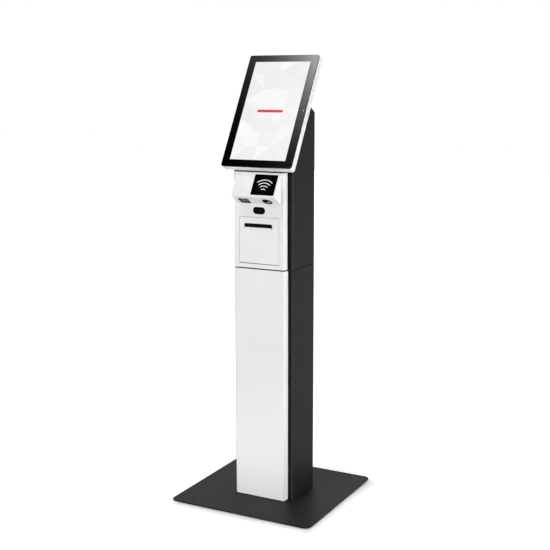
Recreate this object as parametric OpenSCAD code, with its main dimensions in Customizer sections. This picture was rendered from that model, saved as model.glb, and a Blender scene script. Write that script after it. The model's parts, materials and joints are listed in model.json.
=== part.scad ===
// Free-standing interactive kiosk: tilted touch display, reader and receipt printer on a sheet column.
// The front faces -Y, the viewer's right is +X; the origin is on the floor under the middle of the base.

/* [Base] */
// Width of the base plate
base_w = 496; // [420:2:600]
// Depth of the base plate
base_d = 480; // [400:2:600]
// Thickness of the base plate
base_t = 4; // [4:0.5:8]
// Corner radius of the base plate
base_corner_r = 20; // [5:1:40]
// Height of the rubber pads under the plate
pad_h = 2; // [1:0.5:5]
// Diameter of the rubber pads
pad_d = 40; // [20:1:60]
// Distance from the plate's edges to the pad centres
pad_inset = 42; // [35:1:80]

/* [Column] */
// Outer width of the column
column_w = 210; // [202:1:250]
// Outer depth of the column
column_d = 154; // [140:1:200]
// Sheet thickness of the column
sheet_t = 2; // [1.5:0.1:3]
// Outer radius of the column's upright corners
column_r = 5; // [4:0.5:8]
// Height of the seam between the lower and the upper column
seam_z = 759; // [650:1:850]
// Height of the gasket in the seam
seam_gap = 1.5; // [1:0.1:3]
// How far the gasket stands back from the column's faces
gasket_inset = 4; // [2:0.5:8]
// Thickness of the foot plate at the bottom of the column
foot_t = 5; // [4:0.5:8]
// Thickness of the two decks that meet at the seam
deck_t = 3; // [2:0.5:5]
// Distance from the column's faces to the column bolts
bolt_inset = 28; // [24:1:36]
// Diameter of the column bolts
bolt_d = 6; // [5:0.5:6]
// Width of the cable opening through the decks
cable_w = 80; // [40:1:90]
// Depth of the cable opening through the decks
cable_d = 44; // [30:1:60]

/* [Front panels] */
// Distance from the base plate's front edge to the white panels
panel_setback = 150; // [120:1:180]
// Width of the white panels
panel_w = 176.5; // [172:0.5:190]
// Depth of the white panels
panel_d = 26; // [22:0.5:35]
// Sheet thickness of the panels
panel_t = 2; // [1.5:0.1:3]
// Open joint between the upper fascia's sides and the column
fascia_joint = 4.4; // [1:0.1:8]
// Radius of the panels' upright front edges
panel_r = 3; // [2:0.5:5]
// Gap between the base plate and the lower panel
panel_lift = 1.5; // [1:0.5:6]
// Gap between the lower panel and the upper fascia
panel_reveal = 4; // [2:0.5:8]
// How far the column's front flanges reach in behind the panels
flange_lap = 15; // [13:0.5:18]
// Diameter of the panel screws
screw_d = 4; // [3:0.5:5]
// Diameter of the bosses for the panel screws
boss_d = 9; // [8:0.5:10]

/* [Display head] */
// Width of the lit screen
active_w = 193.6; // [180:0.1:230]
// Height of the lit screen
active_h = 344.2; // [330:0.1:400]
// Black border beside the screen
bezel_side = 26.3; // [15:0.1:40]
// Black border above and below the screen
bezel_end = 24.5; // [15:0.1:40]
// Thickness of the cover glass
glass_t = 3; // [2:0.5:5]
// Depth of the whole head
head_t = 26; // [25:0.5:40]
// Lean of the head back from upright
head_tilt = 30; // [25:1:31]
// Radius of the head's corners
head_corner_r = 8; // [5:0.5:15]
// Wall thickness of the head's casing
head_wall = 3; // [2:0.5:4]
// How far the glass's lower edge stands in front of the fascia
head_overhang = 23.1; // [20:0.1:30]
// Gap between the fascia's top and the head
head_gap = 4.5; // [3:0.5:10]
// How far the column reaches up the back of the head
neck_len = 241; // [215:1:280]
// Thickness of the display panel
display_t = 10; // [6:0.5:11]
// Border of the display panel around the lit screen
display_rim = 5; // [3:0.5:8]
// Thickness of the head frame's inner plate
mid_t = 2; // [1.5:0.5:3]
// Depth of the back cover
cover_d = 8; // [7:0.5:12]
// Spacing of the head bolts
vesa = 100; // [75:25:100]
// Width of the main board
board_w = 150; // [100:1:180]
// Height of the main board
board_h = 110; // [80:1:120]

/* [Reader module] */
// Width of the reader module
reader_w = 154; // [150:1:165]
// How far its lower front edge stands in front of the fascia
reader_proud = 43; // [41:0.1:55]
// Depth of its flat top, above the tilted face
reader_ledge = 1.6; // [1:0.1:3]
// Wall thickness of the reader housing
reader_wall = 3; // [2.5:0.5:4]
// Width of the contactless window
nfc_w = 79.8; // [60:0.1:85]
// Height of the contactless window up the face
nfc_h = 69; // [50:0.5:71]
// Sideways place of the contactless window's centre
nfc_x = 31; // [20:0.1:32]
// Distance from the lower front edge to the contactless window
nfc_up = 7.5; // [5:0.5:9]
// Corner radius of the contactless window
nfc_r = 3; // [1:0.5:6]
// Depth of the recess that holds the contactless window
nfc_recess = 1.5; // [1:0.1:1.7]
// How far the contactless window stands out of its recess
nfc_proud = 0.4; // [0.2:0.1:1]
// Width of the scanner bezel
scanner_w = 34; // [28:0.5:40]
// Length of the scanner bezel along the underside
scanner_l = 30; // [26:0.5:34]
// Sideways place of the scanner
scanner_x = -42; // [-50:0.5:-36]
// Distance from the front edge back to the scanner's centre
scanner_back = 31; // [28:0.5:34]
// Width of the scanner bezel's rim
scanner_rim = 3.5; // [3:0.5:5]
// Diameter of the push-button's bezel
button_d = 32; // [26:0.5:36]
// Sideways place of the push-button
button_x = 38.7; // [34:0.1:48]
// Distance from the front edge back to the push-button's centre
button_back = 30.5; // [27:0.5:33]
// Width of the bezel ring around the push-button
button_ring = 3.5; // [2.5:0.5:5]
// Travel of the push-button
button_travel = 2.5; // [1:0.5:4]

/* [Sensor window] */
// Width of the stadium window
sensor_w = 43.2; // [36:0.1:60]
// Height of the stadium window
sensor_h = 22.6; // [20:0.1:30]
// Clear height above the stadium window
sensor_above = 10.4; // [8:0.1:20]
// Clear height below the stadium window
sensor_below = 10.5; // [9:0.1:20]
// How far the window lies back from the fascia's face
sensor_recess = 0.4; // [0.2:0.1:0.8]
// Depth of the holder behind the window
holder_d = 5; // [4:0.5:8]

/* [Printer door] */
// Width of the printer door
door_w = 139.5; // [130:0.5:145]
// Height of the printer door
door_h = 146; // [143:0.5:165]
// Height of the fascia below the door
door_sill = 14; // [12:0.5:30]
// Gap around the door
door_gap = 1; // [0.6:0.1:2]
// Sheet thickness of the door
door_t = 2.5; // [2:0.1:3.5]
// Depth of the door's folded rim
door_rim = 8; // [6:0.5:9]
// Radius of the hinge barrel along the door's lower edge
barrel_r = 4; // [3.5:0.1:5]
// Diameter of the door's hinge pin
hinge_pin_d = 4; // [3:0.5:4.5]
// Width of the paper slot
slot_w = 99; // [90:0.5:104]
// Sideways place of the paper slot
slot_x = -3.5; // [-6:0.1:6]
// Height of the opening that holds the slot and its lip
slot_h = 20; // [16:0.5:24]
// Distance from the door's top to the opening
slot_top = 19.5; // [18:0.5:24]
// Radius of the opening's corners
slot_r = 4; // [1:0.5:5]
// Height of the lip under the slot
lip_h = 8; // [6:0.5:11]
// Gap beside the lip
lip_gap = 1.6; // [0.5:0.1:3]
// How far the lip swells out of the door
lip_proud = 1.4; // [0.5:0.1:3]

/* [Printer] */
// Width of the paper
paper_w = 79.5; // [57:0.5:82]
// Diameter of the paper roll
roll_d = 78; // [60:1:80]
// Diameter of the roll's core
core_d = 18; // [16:0.5:25]
// Bore of the roll's core
core_bore = 12.7; // [10:0.1:14]
// Outer width of the printer frame
frame_w = 120; // [116:1:124]
// Depth of the printer frame
frame_d = 112; // [108:1:115]
// Sheet thickness of the printer frame
frame_t = 2; // [1.5:0.1:2.5]
// Distance from the frame's front to the paper roll
roll_setback = 23; // [22:1:26]
// Wall thickness of the paper bucket
bucket_t = 2.5; // [2:0.1:3]
// Diameter of the platen roller
platen_d = 16; // [14:0.5:17]
// Diameter of the platen shaft
shaft_d = 6; // [5:0.5:7]
// Distance from the frame's front to the platen shaft
platen_setback = 13; // [12.5:0.1:14]
// Height of the print head
print_head_h = 6; // [4:0.5:8]
// Diameter of the feed motor
motor_d = 25; // [20:0.5:26]
// Length of the feed motor
motor_l = 16; // [12:0.5:16]
// Tooth size of the gears: pitch diameter over tooth count
gear_module = 1; // [0.9:0.05:1]
// Teeth of the platen gear
platen_teeth = 20; // [18:1:20]
// Teeth of the idler gear
idler_teeth = 24; // [22:1:26]
// Teeth of the motor pinion
pinion_teeth = 12; // [12:1:14]
// Width of the gears
gear_w = 5; // [4:0.5:7]
// Pitch of the tear bar's teeth
tear_pitch = 3; // [2:0.5:5]

/* [Service door] */
// Width of the opening in the back
rear_w = 160; // [150:1:170]
// Height of the column's back below the opening
rear_sill = 42; // [30:1:80]
// Height of the column's back above the opening
rear_head = 66; // [50:1:90]
// Gap around the service door
rear_gap = 1; // [0.6:0.1:2]
// Depth of the folded rim around the opening
rear_rim = 16; // [14:0.5:20]
// Depth of the door's folded rim
rear_door_rim = 9; // [6:0.5:12]
// Radius of the hinge knuckles
knuckle_r = 4; // [3.5:0.1:5]
// Diameter of the service hinge pins
knuckle_pin_d = 4; // [3:0.5:4.5]
// Length of one service hinge
hinge_l = 50; // [40:1:70]
// Distance from the door's ends to the service hinges
hinge_inset = 60; // [40:1:90]
// Diameter of the lock barrel
lock_d = 19; // [16:0.5:22]
// Distance from the door's free edge to the lock
lock_inset = 19; // [17:0.5:22]
// Reach of the lock cam
cam_l = 30; // [26:0.5:40]

/* [Power] */
// Height of the inlet's and the switch's centres above the foot plate
inlet_z = 60; // [40:1:90]
// Distance of the inlet and the switch from the middle
inlet_x = 26; // [24:1:40]
// Width of the power supply
supply_w = 97; // [80:1:110]
// Height of the power supply
supply_h = 159; // [120:1:200]
// Depth of the power supply
supply_d = 38; // [30:1:45]
// Height of the power supply above the foot plate
supply_z = 105; // [95:1:160]

/* [Fits] */
// Clearance around pieces that are fitted and fixed
fit = 0.1; // [0.05:0.01:0.2]
// Radial running clearance of pins and shafts
run_fit = 0.06; // [0.03:0.01:0.1]
// Clearance between a fixed and a moving piece
clear = 0.4; // [0.3:0.05:0.8]

/* [Hidden] */
$fn = 64;

white = [0.92, 0.92, 0.92];
black = [0.12, 0.12, 0.13];
dark_grey = [0.25, 0.25, 0.27];
steel = [0.72, 0.73, 0.75];
board_green = [0.1, 0.35, 0.2];
// Overshoot of a cut past the face it opens
cut = 1;
// Added to the diameter of a screw or a bolt where it passes through, and where it is held
pass_fit = 4 * fit;
hold_fit = 2 * fit;
// Thickness of the circuit boards
board_t = 1.6;

// Heights of the base, the column and the panels
plate_z1 = pad_h + base_t;
lower_z1 = seam_z - seam_gap / 2;
upper_z0 = seam_z + seam_gap / 2;
panel_z0 = plate_z1 + panel_lift;
panel_z1 = seam_z - panel_reveal / 2;
fascia_z0 = seam_z + panel_reveal / 2;

// Depths of the panels, their front sheets and the column
panel_front = panel_setback - base_d / 2;
panel_back = panel_front + panel_t;
column_front = panel_front + panel_d;
column_back = column_front + column_d;
column_mid = (column_front + column_back) / 2;
flange_x = panel_w / 2 - flange_lap;
boss_x = panel_w / 2 - flange_lap / 2;
// Length of the panel screws in their bosses, and the clear depth past their tips
screw_l = 8;
screw_tip_gap = 0.5;
screw_head_d = 1.9 * screw_d;
screw_head_h = 0.6 * screw_d;
// Distances from the ends of the panels, the frame and the front opening to the screws
panel_row_inset = 40;
frame_row_inset = 15;
fascia_row_inset = 12;

// Heights on the fascia, from its lower edge up
door_z0 = fascia_z0 + door_sill;
door_z1 = door_z0 + door_h;
sensor_z = door_z1 + sensor_below + sensor_h / 2;
reader_z0 = door_z1 + sensor_below + sensor_h + sensor_above;
reader_z = reader_z0 + reader_proud * tan(head_tilt);
reader_rise = (reader_proud - reader_ledge) / tan(head_tilt);
fascia_z1 = reader_z + reader_rise;

// Place of the reader's lower front edge and of the head's lower front edge
reader_y = panel_front - reader_proud;
head_y = panel_front - head_overhang;
head_z = fascia_z1 + head_gap + head_t * sin(head_tilt);
glass_w = active_w + 2 * bezel_side;
glass_h = active_h + 2 * bezel_end;
cover_y = head_t - cover_d;
mid_y = glass_t + display_t;
bolt_row_z = (neck_len + neck_foot(0)) / 2;

// Openings of the upper column behind the fascia and in the back
front_open_sill = 8;
front_open_head = 14;
front_open_z0 = upper_z0 + deck_t + front_open_sill;
front_open_z1 = fascia_z1 - front_open_head;
neck_back_z = neck_top(0)[1] - (column_back - neck_top(0)[0]) * tan(head_tilt);
rear_z0 = upper_z0 + rear_sill;
rear_z1 = neck_back_z - rear_head;
rear_h = rear_z1 - rear_z0;
rear_mid = (rear_z0 + rear_z1) / 2;
// Margins of the fascia's opening behind the reader
reader_hole_side = 8;
reader_hole_end = 10;
// Cable opening into the head, and the corner radius of the cable openings
head_cable_w = 60;
head_cable_h = 40;
cable_r = 6;

// Power inlet: height of its centre, body, socket and flange
inlet_mid_z = plate_z1 + foot_t + inlet_z;
inlet_body_w = 27;
inlet_body_h = 20;
socket_w = 24.2;
socket_h = 16.2;
socket_d = 17;
socket_bevel = 4.5;
socket_flange_t = 3;
// Mains switch: body, and the lean and the pivot of its rocker
switch_w = 14.6;
switch_h = 21.4;
switch_wall = 1;
rocker_lean = 8;
rocker_pin_d = 3;
rocker_pin_in = 1;
// Screws of the power supply
supply_screw_x = supply_w / 2 - 12;
supply_screw_z = 15;
supply_screw_l = 5;

// Push-button: barrel behind its bezel, thickness of the bezel's ring and crown of the cap
button_stop = 3;
button_barrel_l = reader_wall + button_travel + button_stop;
button_ring_t = 1.5;
button_crown = 3;
// Scanner: thickness of its bezel's rim, and how far the bezel stands in behind the wall
scanner_rim_t = 1;
scanner_in = 2;
// Lens and lights behind the stadium window
lens_d = 9;
light_d = 5;
light_pitch = 14;

// Places inside the printer
frame_front = column_front + sheet_t;
frame_lift = 11;
frame_in = frame_w / 2 - frame_t;
frame_z0 = door_z0 + frame_lift;
frame_floor = frame_z0 + frame_t;
slot_z1 = door_z1 - slot_top;
slot_z0 = slot_z1 - slot_h;
nip_drop = 4.5;
nip_z = slot_z1 - nip_drop;
platen_y = frame_front + platen_setback;
platen_z = nip_z - platen_d / 2;
head_z0 = nip_z + clear;
carrier_z0 = head_z0 + print_head_h;
carrier_t = 3;
carrier_front = frame_front + 2;
frame_over = 5;
frame_z1 = carrier_z0 + carrier_t + frame_over;
roll_r = roll_d / 2;
roll_y = frame_front + roll_setback + roll_r;
roll_z = frame_floor + bucket_t + clear + roll_r;
// Directions from the platen to the idler and from the idler to the pinion
idler_angle = -25;
pinion_angle = 15;
idler_dist = gear_module * (platen_teeth + idler_teeth) / 2;
pinion_dist = gear_module * (idler_teeth + pinion_teeth) / 2;
idler_y = platen_y + idler_dist * cos(idler_angle);
idler_z = platen_z + idler_dist * sin(idler_angle);
pinion_y = idler_y + pinion_dist * cos(pinion_angle);
pinion_z = idler_z + pinion_dist * sin(pinion_angle);
// The gears turn just outside the frame's right-hand side
gear_gap = 1.2;
gear_x = frame_w / 2 + gear_gap;
bush_d = 10;
bush_l = 3;
pinion_shaft_d = 3;
idler_pin_d = 4;
idler_collar_d = idler_pin_d + 3;
idler_disc_t = 1.2;
// Depth of the pinion's shaft inside the motor, and of the motor's bore
pinion_shaft_in = 8;
motor_bore_l = 10;
// Strip of the print head and of the tear bar past each side of the paper
strip_over = 2.5;
platen_phase = idler_angle;
idler_phase = mesh_phase(idler_angle, platen_phase, platen_teeth, idler_teeth);
pinion_phase = mesh_phase(pinion_angle, idler_phase, idler_teeth, pinion_teeth);
gear_backlash = 0.12;
pressure_angle = 20;

// Hinges and lock
door_pin_y = panel_front + barrel_r;
door_pin_z = door_z0 + barrel_r;
ear_w = 5;
ear_gap = 1;
ear_x = door_w / 2 + door_gap + ear_gap;
// Strike behind the door's upper edge
strike_w = 24;
strike_h = 12;
rear_pin_x = -rear_w / 2;
rear_pin_y = column_back + knuckle_r;
leaf_t = 1.5;
leaf_w = 14;
knuckle_l = hinge_l / 3;
lock_x = rear_w / 2 - rear_gap - lock_inset;
lock_z = rear_mid;
cam_t = 2.5;
cam_w = 12;
lock_flange_t = 2;
plug_d = lock_d - 6;
plug_proud = 2.4;
cam_y1 = column_back - sheet_t - rear_rim - clear;

// Points on the four bolts of the column
function bolt_points() = [
  for (sx = [-1, 1], sy = [-1, 1])
  [sx * (column_w / 2 - bolt_inset), column_mid + sy * (column_d / 2 - bolt_inset)]
];

// Heights of the panel screws on the lower panel and on the fascia
function panel_rows() = [panel_z0 + panel_row_inset, (panel_z0 + panel_z1) / 2, panel_z1 - panel_row_inset];
function fascia_rows() = [
  frame_z0 + frame_row_inset, frame_z1 - frame_row_inset, front_open_z1 - fascia_row_inset
];
function supply_rows() = [
  for (z = [supply_screw_z, supply_h - supply_screw_z]) plate_z1 + foot_t + supply_z + z
];

// The head's back plane, pushed back by an inset, crosses the column's front at this distance up the head
function neck_foot(inset) = (column_front + inset - neck_base(inset)[0]) / sin(head_tilt);
function neck_base(inset) = [
  head_y + (head_t + fit + inset) * cos(head_tilt),
  head_z - (head_t + fit + inset) * sin(head_tilt)
];
function up_the_neck(s, inset) = neck_base(inset) + s * [sin(head_tilt), cos(head_tilt)];
function neck_top(inset) = up_the_neck(neck_len - inset, inset);

// Side outline of the upper column, inset on every side but the bottom
function body_outline(inset) = [
  [column_front + inset, upper_z0],
  up_the_neck(neck_foot(inset), inset),
  neck_top(inset),
  [column_back - inset, neck_top(inset)[1] - (column_back - inset - neck_top(inset)[0]) * tan(head_tilt)],
  [column_back - inset, upper_z0]
];

// Turn of the second gear so that its gap faces the first gear's tooth
function mesh_phase(angle, phase, teeth, next_teeth) =
  angle + 180 + (angle - phase) * teeth / next_teeth + 180 / next_teeth;

// Half angle of a gear tooth at radius r
function involute(a) = tan(a) - a * PI / 180;
function tooth_half(teeth, r) =
  let (pitch_r = gear_module * teeth / 2, base_r = pitch_r * cos(pressure_angle))
  90 / teeth - gear_backlash / 2 / pitch_r * 180 / PI
  + (involute(pressure_angle) - involute(acos(min(1, base_r / r)))) * 180 / PI;
function polar(r, a) = [r * cos(a), r * sin(a)];
// Radii up one flank of a tooth, from the base circle or the root to the tip
function flank_radii(teeth) =
  let (
    pitch_r = gear_module * teeth / 2,
    foot_r = max(pitch_r * cos(pressure_angle), pitch_r - 1.1 * gear_module),
    tip_r = pitch_r + 0.8 * gear_module
  )
  [for (i = [0:3]) foot_r + (tip_r - foot_r) * i / 3];
function tooth_points(teeth) =
  let (radii = flank_radii(teeth), root_r = gear_module * (teeth / 2 - 1.15))
  concat(
    [[root_r, -tooth_half(teeth, radii[0])]],
    [for (r = radii) [r, -tooth_half(teeth, r)]],
    [for (i = [3:-1:0]) [radii[i], tooth_half(teeth, radii[i])]],
    [[root_r, tooth_half(teeth, radii[0])]]
  );
function gear_points(teeth) = [
  for (i = [0:teeth - 1], p = tooth_points(teeth)) polar(p[0], p[1] + 360 * i / teeth)
];

// Flat outlines
module round_rect(w, h, r) {
  square([w - 2 * r, h], center = true);
  square([w, h - 2 * r], center = true);
  for (sx = [-1, 1], sy = [-1, 1])
    translate([sx * (w / 2 - r), sy * (h / 2 - r)])
      circle(r);
}

module stadium(w, h) {
  square([w - h, h], center = true);
  for (s = [-1, 1])
    translate([s * (w - h) / 2, 0])
      circle(h / 2);
}

// Plan of a folded panel: front edges round, back open
module tray_plan(w, d, r) {
  translate([-w / 2, r])
    square([w, d - r]);
  translate([-w / 2 + r, 0])
    square([w - 2 * r, d]);
  for (s = [-1, 1])
    translate([s * (w / 2 - r), r])
      circle(r);
}

// An outline drawn across and up, given a thickness towards the back
module upright(t) {
  translate([0, t, 0])
    rotate([90, 0, 0])
      linear_extrude(t)
        children();
}

// An outline drawn back and up, given a width to the right
module sideways(w) {
  rotate([90, 0, 90])
    linear_extrude(w)
      children();
}

// The same width shared out on both sides of the middle
module across(w) {
  translate([-w / 2, 0, 0])
    sideways(w)
      children();
}

// Round bars along the three axes
module bar_x(d, l) {
  rotate([0, 90, 0])
    cylinder(d = d, h = l);
}

module bar_y(d, l) {
  rotate([-90, 0, 0])
    cylinder(d = d, h = l);
}

// Frames of the head and of the reader: back is along y and up the face is along z
module in_head() {
  translate([0, head_y, head_z])
    rotate([-head_tilt, 0, 0])
      children();
}

module in_reader() {
  translate([0, reader_y, reader_z])
    rotate([-head_tilt, 0, 0])
      children();
}

// A plate of the head's outline
module head_slab(t) {
  translate([0, 0, glass_h / 2])
    upright(t)
      round_rect(glass_w, glass_h, head_corner_r);
}

// Closed outline of the column, seen from above
module column_plan(inset) {
  translate([0, column_mid])
    round_rect(column_w - 2 * inset, column_d - 2 * inset, column_r - min(inset, column_r - 1));
}

// Round holes at the column bolts
module bolt_holes(d, z, h) {
  for (p = bolt_points())
    translate([p[0], p[1], z])
      cylinder(d = d, h = h);
}

module cable_opening(z, h) {
  translate([0, column_mid, z])
    linear_extrude(h)
      round_rect(cable_w, cable_d, cable_r);
}

// Folded channel of the white panels, and the plate that closes one end of it
module panel_channel(d, h) {
  linear_extrude(h)
    difference() {
      tray_plan(panel_w, d, panel_r);
      translate([0, panel_t])
        tray_plan(panel_w - 2 * panel_t, panel_d, max(panel_r - panel_t, 0.5));
    }
}

module panel_end(d) {
  linear_extrude(panel_t)
    tray_plan(panel_w, d, panel_r);
}

// Bosses behind a panel's front sheet, each with a blind hole from the back
module panel_bosses(rows) {
  hole_l = screw_l + screw_tip_gap;
  for (s = [-1, 1], z = rows)
    translate([s * boss_x, panel_back, z])
      difference() {
        bar_y(boss_d, panel_d - panel_t);
        translate([0, panel_d - panel_t - hole_l, 0])
          bar_y(screw_d + hold_fit, hole_l + cut);
      }
}

// Holes for the panel screws through a flange
module flange_holes(rows) {
  for (s = [-1, 1], z = rows)
    translate([s * boss_x, column_front - cut, z])
      bar_y(screw_d + pass_fit, sheet_t + frame_t + 2 * cut);
}

// Pan-head screw along -y, its head's seat at y = 0, with a cross recess
module screw_in(l) {
  recess = [0.6 * screw_head_d, 0.6 * screw_head_h, 0.15 * screw_head_d];
  difference() {
    union() {
      translate([0, -l, 0])
        bar_y(screw_d, l);
      bar_y(screw_head_d, screw_head_h);
    }
    for (a = [0, 90])
      rotate([0, a, 0])
        translate([-recess[0] / 2, screw_head_h - recess[1], -recess[2] / 2])
          cube(recess + [0, cut, 0]);
  }
}

// A spur gear on the x axis
module gear(teeth, phase, bore) {
  sideways(gear_w)
    rotate(phase)
      difference() {
        polygon(gear_points(teeth));
        circle(d = bore);
      }
}

// Base

module base_plate() {
  color(black)
    difference() {
      translate([0, 0, pad_h])
        linear_extrude(base_t)
          round_rect(base_w, base_d, base_corner_r);
      bolt_holes(bolt_d + pass_fit, pad_h - cut, base_t + 2 * cut);
      for (p = bolt_points())
        translate([p[0], p[1], pad_h])
          cylinder(d1 = 2 * bolt_d + pass_fit, d2 = bolt_d + pass_fit, h = bolt_d / 2);
    }
}

module base_pads() {
  color(dark_grey)
    for (sx = [-1, 1], sy = [-1, 1])
      translate([sx * (base_w / 2 - pad_inset), sy * (base_d / 2 - pad_inset), 0])
        cylinder(d = pad_d, h = pad_h);
}

// Column

module lower_column() {
  color(black)
    difference() {
      union() {
        translate([0, 0, plate_z1])
          linear_extrude(lower_z1 - plate_z1)
            difference() {
              column_plan(0);
              column_plan(sheet_t);
              translate([-flange_x, column_front - cut])
                square([2 * flange_x, sheet_t + 2 * cut]);
            }
        translate([0, 0, plate_z1])
          linear_extrude(foot_t)
            column_plan(0);
        translate([0, 0, lower_z1 - deck_t])
          linear_extrude(deck_t)
            column_plan(0);
      }
      bolt_holes(bolt_d + hold_fit, plate_z1 - cut, foot_t + 2 * cut);
      bolt_holes(bolt_d + pass_fit, lower_z1 - deck_t - cut, deck_t + 2 * cut);
      cable_opening(lower_z1 - deck_t - cut, deck_t + 2 * cut);
      flange_holes(panel_rows());
      supply_holes();
      translate([-inlet_x, column_back - sheet_t - cut, inlet_mid_z])
        upright(sheet_t + 2 * cut)
          square([inlet_body_w + 2 * fit, inlet_body_h + 2 * fit], center = true);
      translate([inlet_x, column_back - sheet_t - cut, inlet_mid_z])
        upright(sheet_t + 2 * cut)
          square([switch_w + 2 * fit, switch_h + 2 * fit], center = true);
    }
}

module lower_front_panel() {
  color(white) {
    translate([0, panel_front, panel_z0]) {
      panel_channel(panel_d, panel_z1 - panel_z0);
      panel_end(panel_d);
    }
    panel_bosses(panel_rows());
  }
}

module seam_gasket() {
  color(dark_grey)
    difference() {
      translate([0, 0, lower_z1])
        linear_extrude(seam_gap)
          column_plan(gasket_inset);
      bolt_holes(bolt_d + pass_fit, lower_z1 - cut, seam_gap + 2 * cut);
      cable_opening(lower_z1 - cut, seam_gap + 2 * cut);
    }
}

// Countersunk bolt up through the base plate
module base_bolt() {
  cylinder(d1 = 2 * bolt_d, d2 = bolt_d, h = bolt_d / 2);
  cylinder(d = bolt_d, h = base_t + foot_t);
}

// Hexagon bolt down through both decks, with its nut
module deck_bolt() {
  grip = 2 * deck_t + seam_gap;
  head_h = 0.7 * bolt_d;
  nut_h = 0.8 * bolt_d;
  hex_d = 1.9 * bolt_d;
  tip = 1;
  translate([0, 0, grip])
    cylinder(d = hex_d, h = head_h, $fn = 6);
  translate([0, 0, -nut_h - tip])
    cylinder(d = bolt_d, h = grip + nut_h + tip);
  translate([0, 0, -nut_h])
    difference() {
      cylinder(d = hex_d, h = nut_h, $fn = 6);
      translate([0, 0, -cut])
        cylinder(d = bolt_d + hold_fit, h = nut_h + 2 * cut);
    }
}

module column_bolts() {
  color(steel)
    for (p = bolt_points())
      translate([p[0], p[1], 0]) {
        translate([0, 0, pad_h])
          base_bolt();
        translate([0, 0, lower_z1 - deck_t])
          deck_bolt();
      }
}

// Deck that closes the upper column's lower end
module upper_deck() {
  color(black)
    difference() {
      translate([0, 0, upper_z0])
        linear_extrude(deck_t)
          column_plan(sheet_t + fit);
      bolt_holes(bolt_d + pass_fit, upper_z0 - cut, deck_t + 2 * cut);
      cable_opening(upper_z0 - cut, deck_t + 2 * cut);
    }
}

// Upright prism of the column's outline, tall enough for the neck
module upper_prism(inset) {
  translate([0, 0, upper_z0])
    linear_extrude(neck_top(0)[1])
      column_plan(inset);
}

// Sheet folded around the sides and the back, with flanges at the front
module upper_body() {
  color(black)
    difference() {
      intersection() {
        across(column_w)
          polygon(body_outline(0));
        upper_prism(0);
      }
      translate([0, 0, -cut])
        upper_prism(sheet_t);
      translate([0, column_back - sheet_t - cut, rear_mid])
        upright(sheet_t + 2 * cut)
          square([rear_w, rear_h], center = true);
      translate([0, column_front - cut, (front_open_z0 + front_open_z1) / 2])
        upright(sheet_t + 2 * cut)
          square([2 * flange_x, front_open_z1 - front_open_z0], center = true);
      flange_holes(fascia_rows());
    }
}

// Plate bent between the sides: the slope that carries the head, and the short top behind it
module neck_plate() {
  color(black)
    difference() {
      intersection() {
        across(column_w)
          difference() {
            polygon(body_outline(0));
            polygon(body_outline(sheet_t));
          }
        upper_prism(sheet_t + fit);
      }
      in_head()
        translate([0, head_t - cut, bolt_row_z]) {
          upright(sheet_t + 2 * cut)
            round_rect(head_cable_w, head_cable_h, cable_r);
          for (sx = [-1, 1], sz = [-1, 1])
            translate([sx * vesa / 2, 0, sz * vesa / 2])
              bar_y(screw_d + pass_fit, sheet_t + 2 * cut);
        }
    }
}

// Rim behind the opening in the back
module service_frame() {
  color(black)
    translate([0, column_back - sheet_t - rear_rim, rear_mid])
      upright(rear_rim - fit)
        difference() {
          square([rear_w + 2 * sheet_t, rear_h + 2 * sheet_t], center = true);
          square([rear_w, rear_h], center = true);
        }
}

module upper_fascia() {
  side_d = panel_d - fascia_joint;
  color(white) {
    difference() {
      union() {
        translate([0, panel_front, fascia_z0])
          panel_channel(side_d, fascia_z1 - fascia_z0);
        translate([0, panel_front, fascia_z1 - panel_t])
          panel_end(side_d);
      }
      translate([0, panel_front - cut, (door_z0 + door_z1) / 2])
        upright(panel_t + 2 * cut)
          square([door_w + 2 * door_gap, door_h + 2 * door_gap], center = true);
      translate([0, panel_front - cut, sensor_z])
        upright(panel_t + 2 * cut)
          stadium(sensor_w, sensor_h);
      translate([0, panel_front - cut, (reader_z0 + fascia_z1) / 2])
        upright(panel_t + 2 * cut)
          square([reader_w - 2 * reader_hole_side, fascia_z1 - reader_z0 - 2 * reader_hole_end],
            center = true);
    }
    panel_bosses(fascia_rows());
  }
}

module panel_screws() {
  color(steel) {
    for (s = [-1, 1], z = panel_rows())
      translate([s * boss_x, column_front + sheet_t, z])
        screw_in(sheet_t + screw_l);
    for (s = [-1, 1], i = [0:2])
      translate([s * boss_x, column_front + sheet_t + (i < 2 ? frame_t : 0), fascia_rows()[i]])
        screw_in(sheet_t + screw_l);
    for (s = [-1, 1], z = supply_rows())
      translate([s * supply_screw_x, column_back, z])
        screw_in(sheet_t + supply_screw_l);
  }
}

// Power

module supply_holes() {
  for (s = [-1, 1], z = supply_rows())
    translate([s * supply_screw_x, column_back - sheet_t - cut, z])
      bar_y(screw_d + pass_fit, sheet_t + 2 * cut);
}

// Outline of the socket, with its two upper corners cut off
module socket_outline() {
  polygon([
    [-socket_w / 2, -socket_h / 2], [socket_w / 2, -socket_h / 2],
    [socket_w / 2, socket_h / 2 - socket_bevel], [socket_w / 2 - socket_bevel, socket_h / 2],
    [socket_bevel - socket_w / 2, socket_h / 2], [-socket_w / 2, socket_h / 2 - socket_bevel]
  ]);
}

module power_inlet() {
  flange_rim = 2;
  flange_r = 2;
  blade = [2, 4];
  blade_places = [[-7, -2], [7, -2], [0, 3.5]];
  blade_recess = 3;
  color(black)
    translate([-inlet_x, column_back, inlet_mid_z]) {
      difference() {
        union() {
          upright(socket_flange_t)
            round_rect(inlet_body_w + 2 * flange_rim, inlet_body_h + 2 * flange_rim, flange_r);
          translate([0, -socket_d, 0])
            upright(socket_d)
              square([inlet_body_w, inlet_body_h], center = true);
        }
        translate([0, socket_flange_t - socket_d, 0])
          upright(socket_d + cut)
            socket_outline();
      }
      for (p = blade_places)
        translate([p[0], socket_flange_t - socket_d - cut, p[1]])
          upright(socket_d + cut - blade_recess)
            square(blade, center = true);
    }
}

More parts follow.
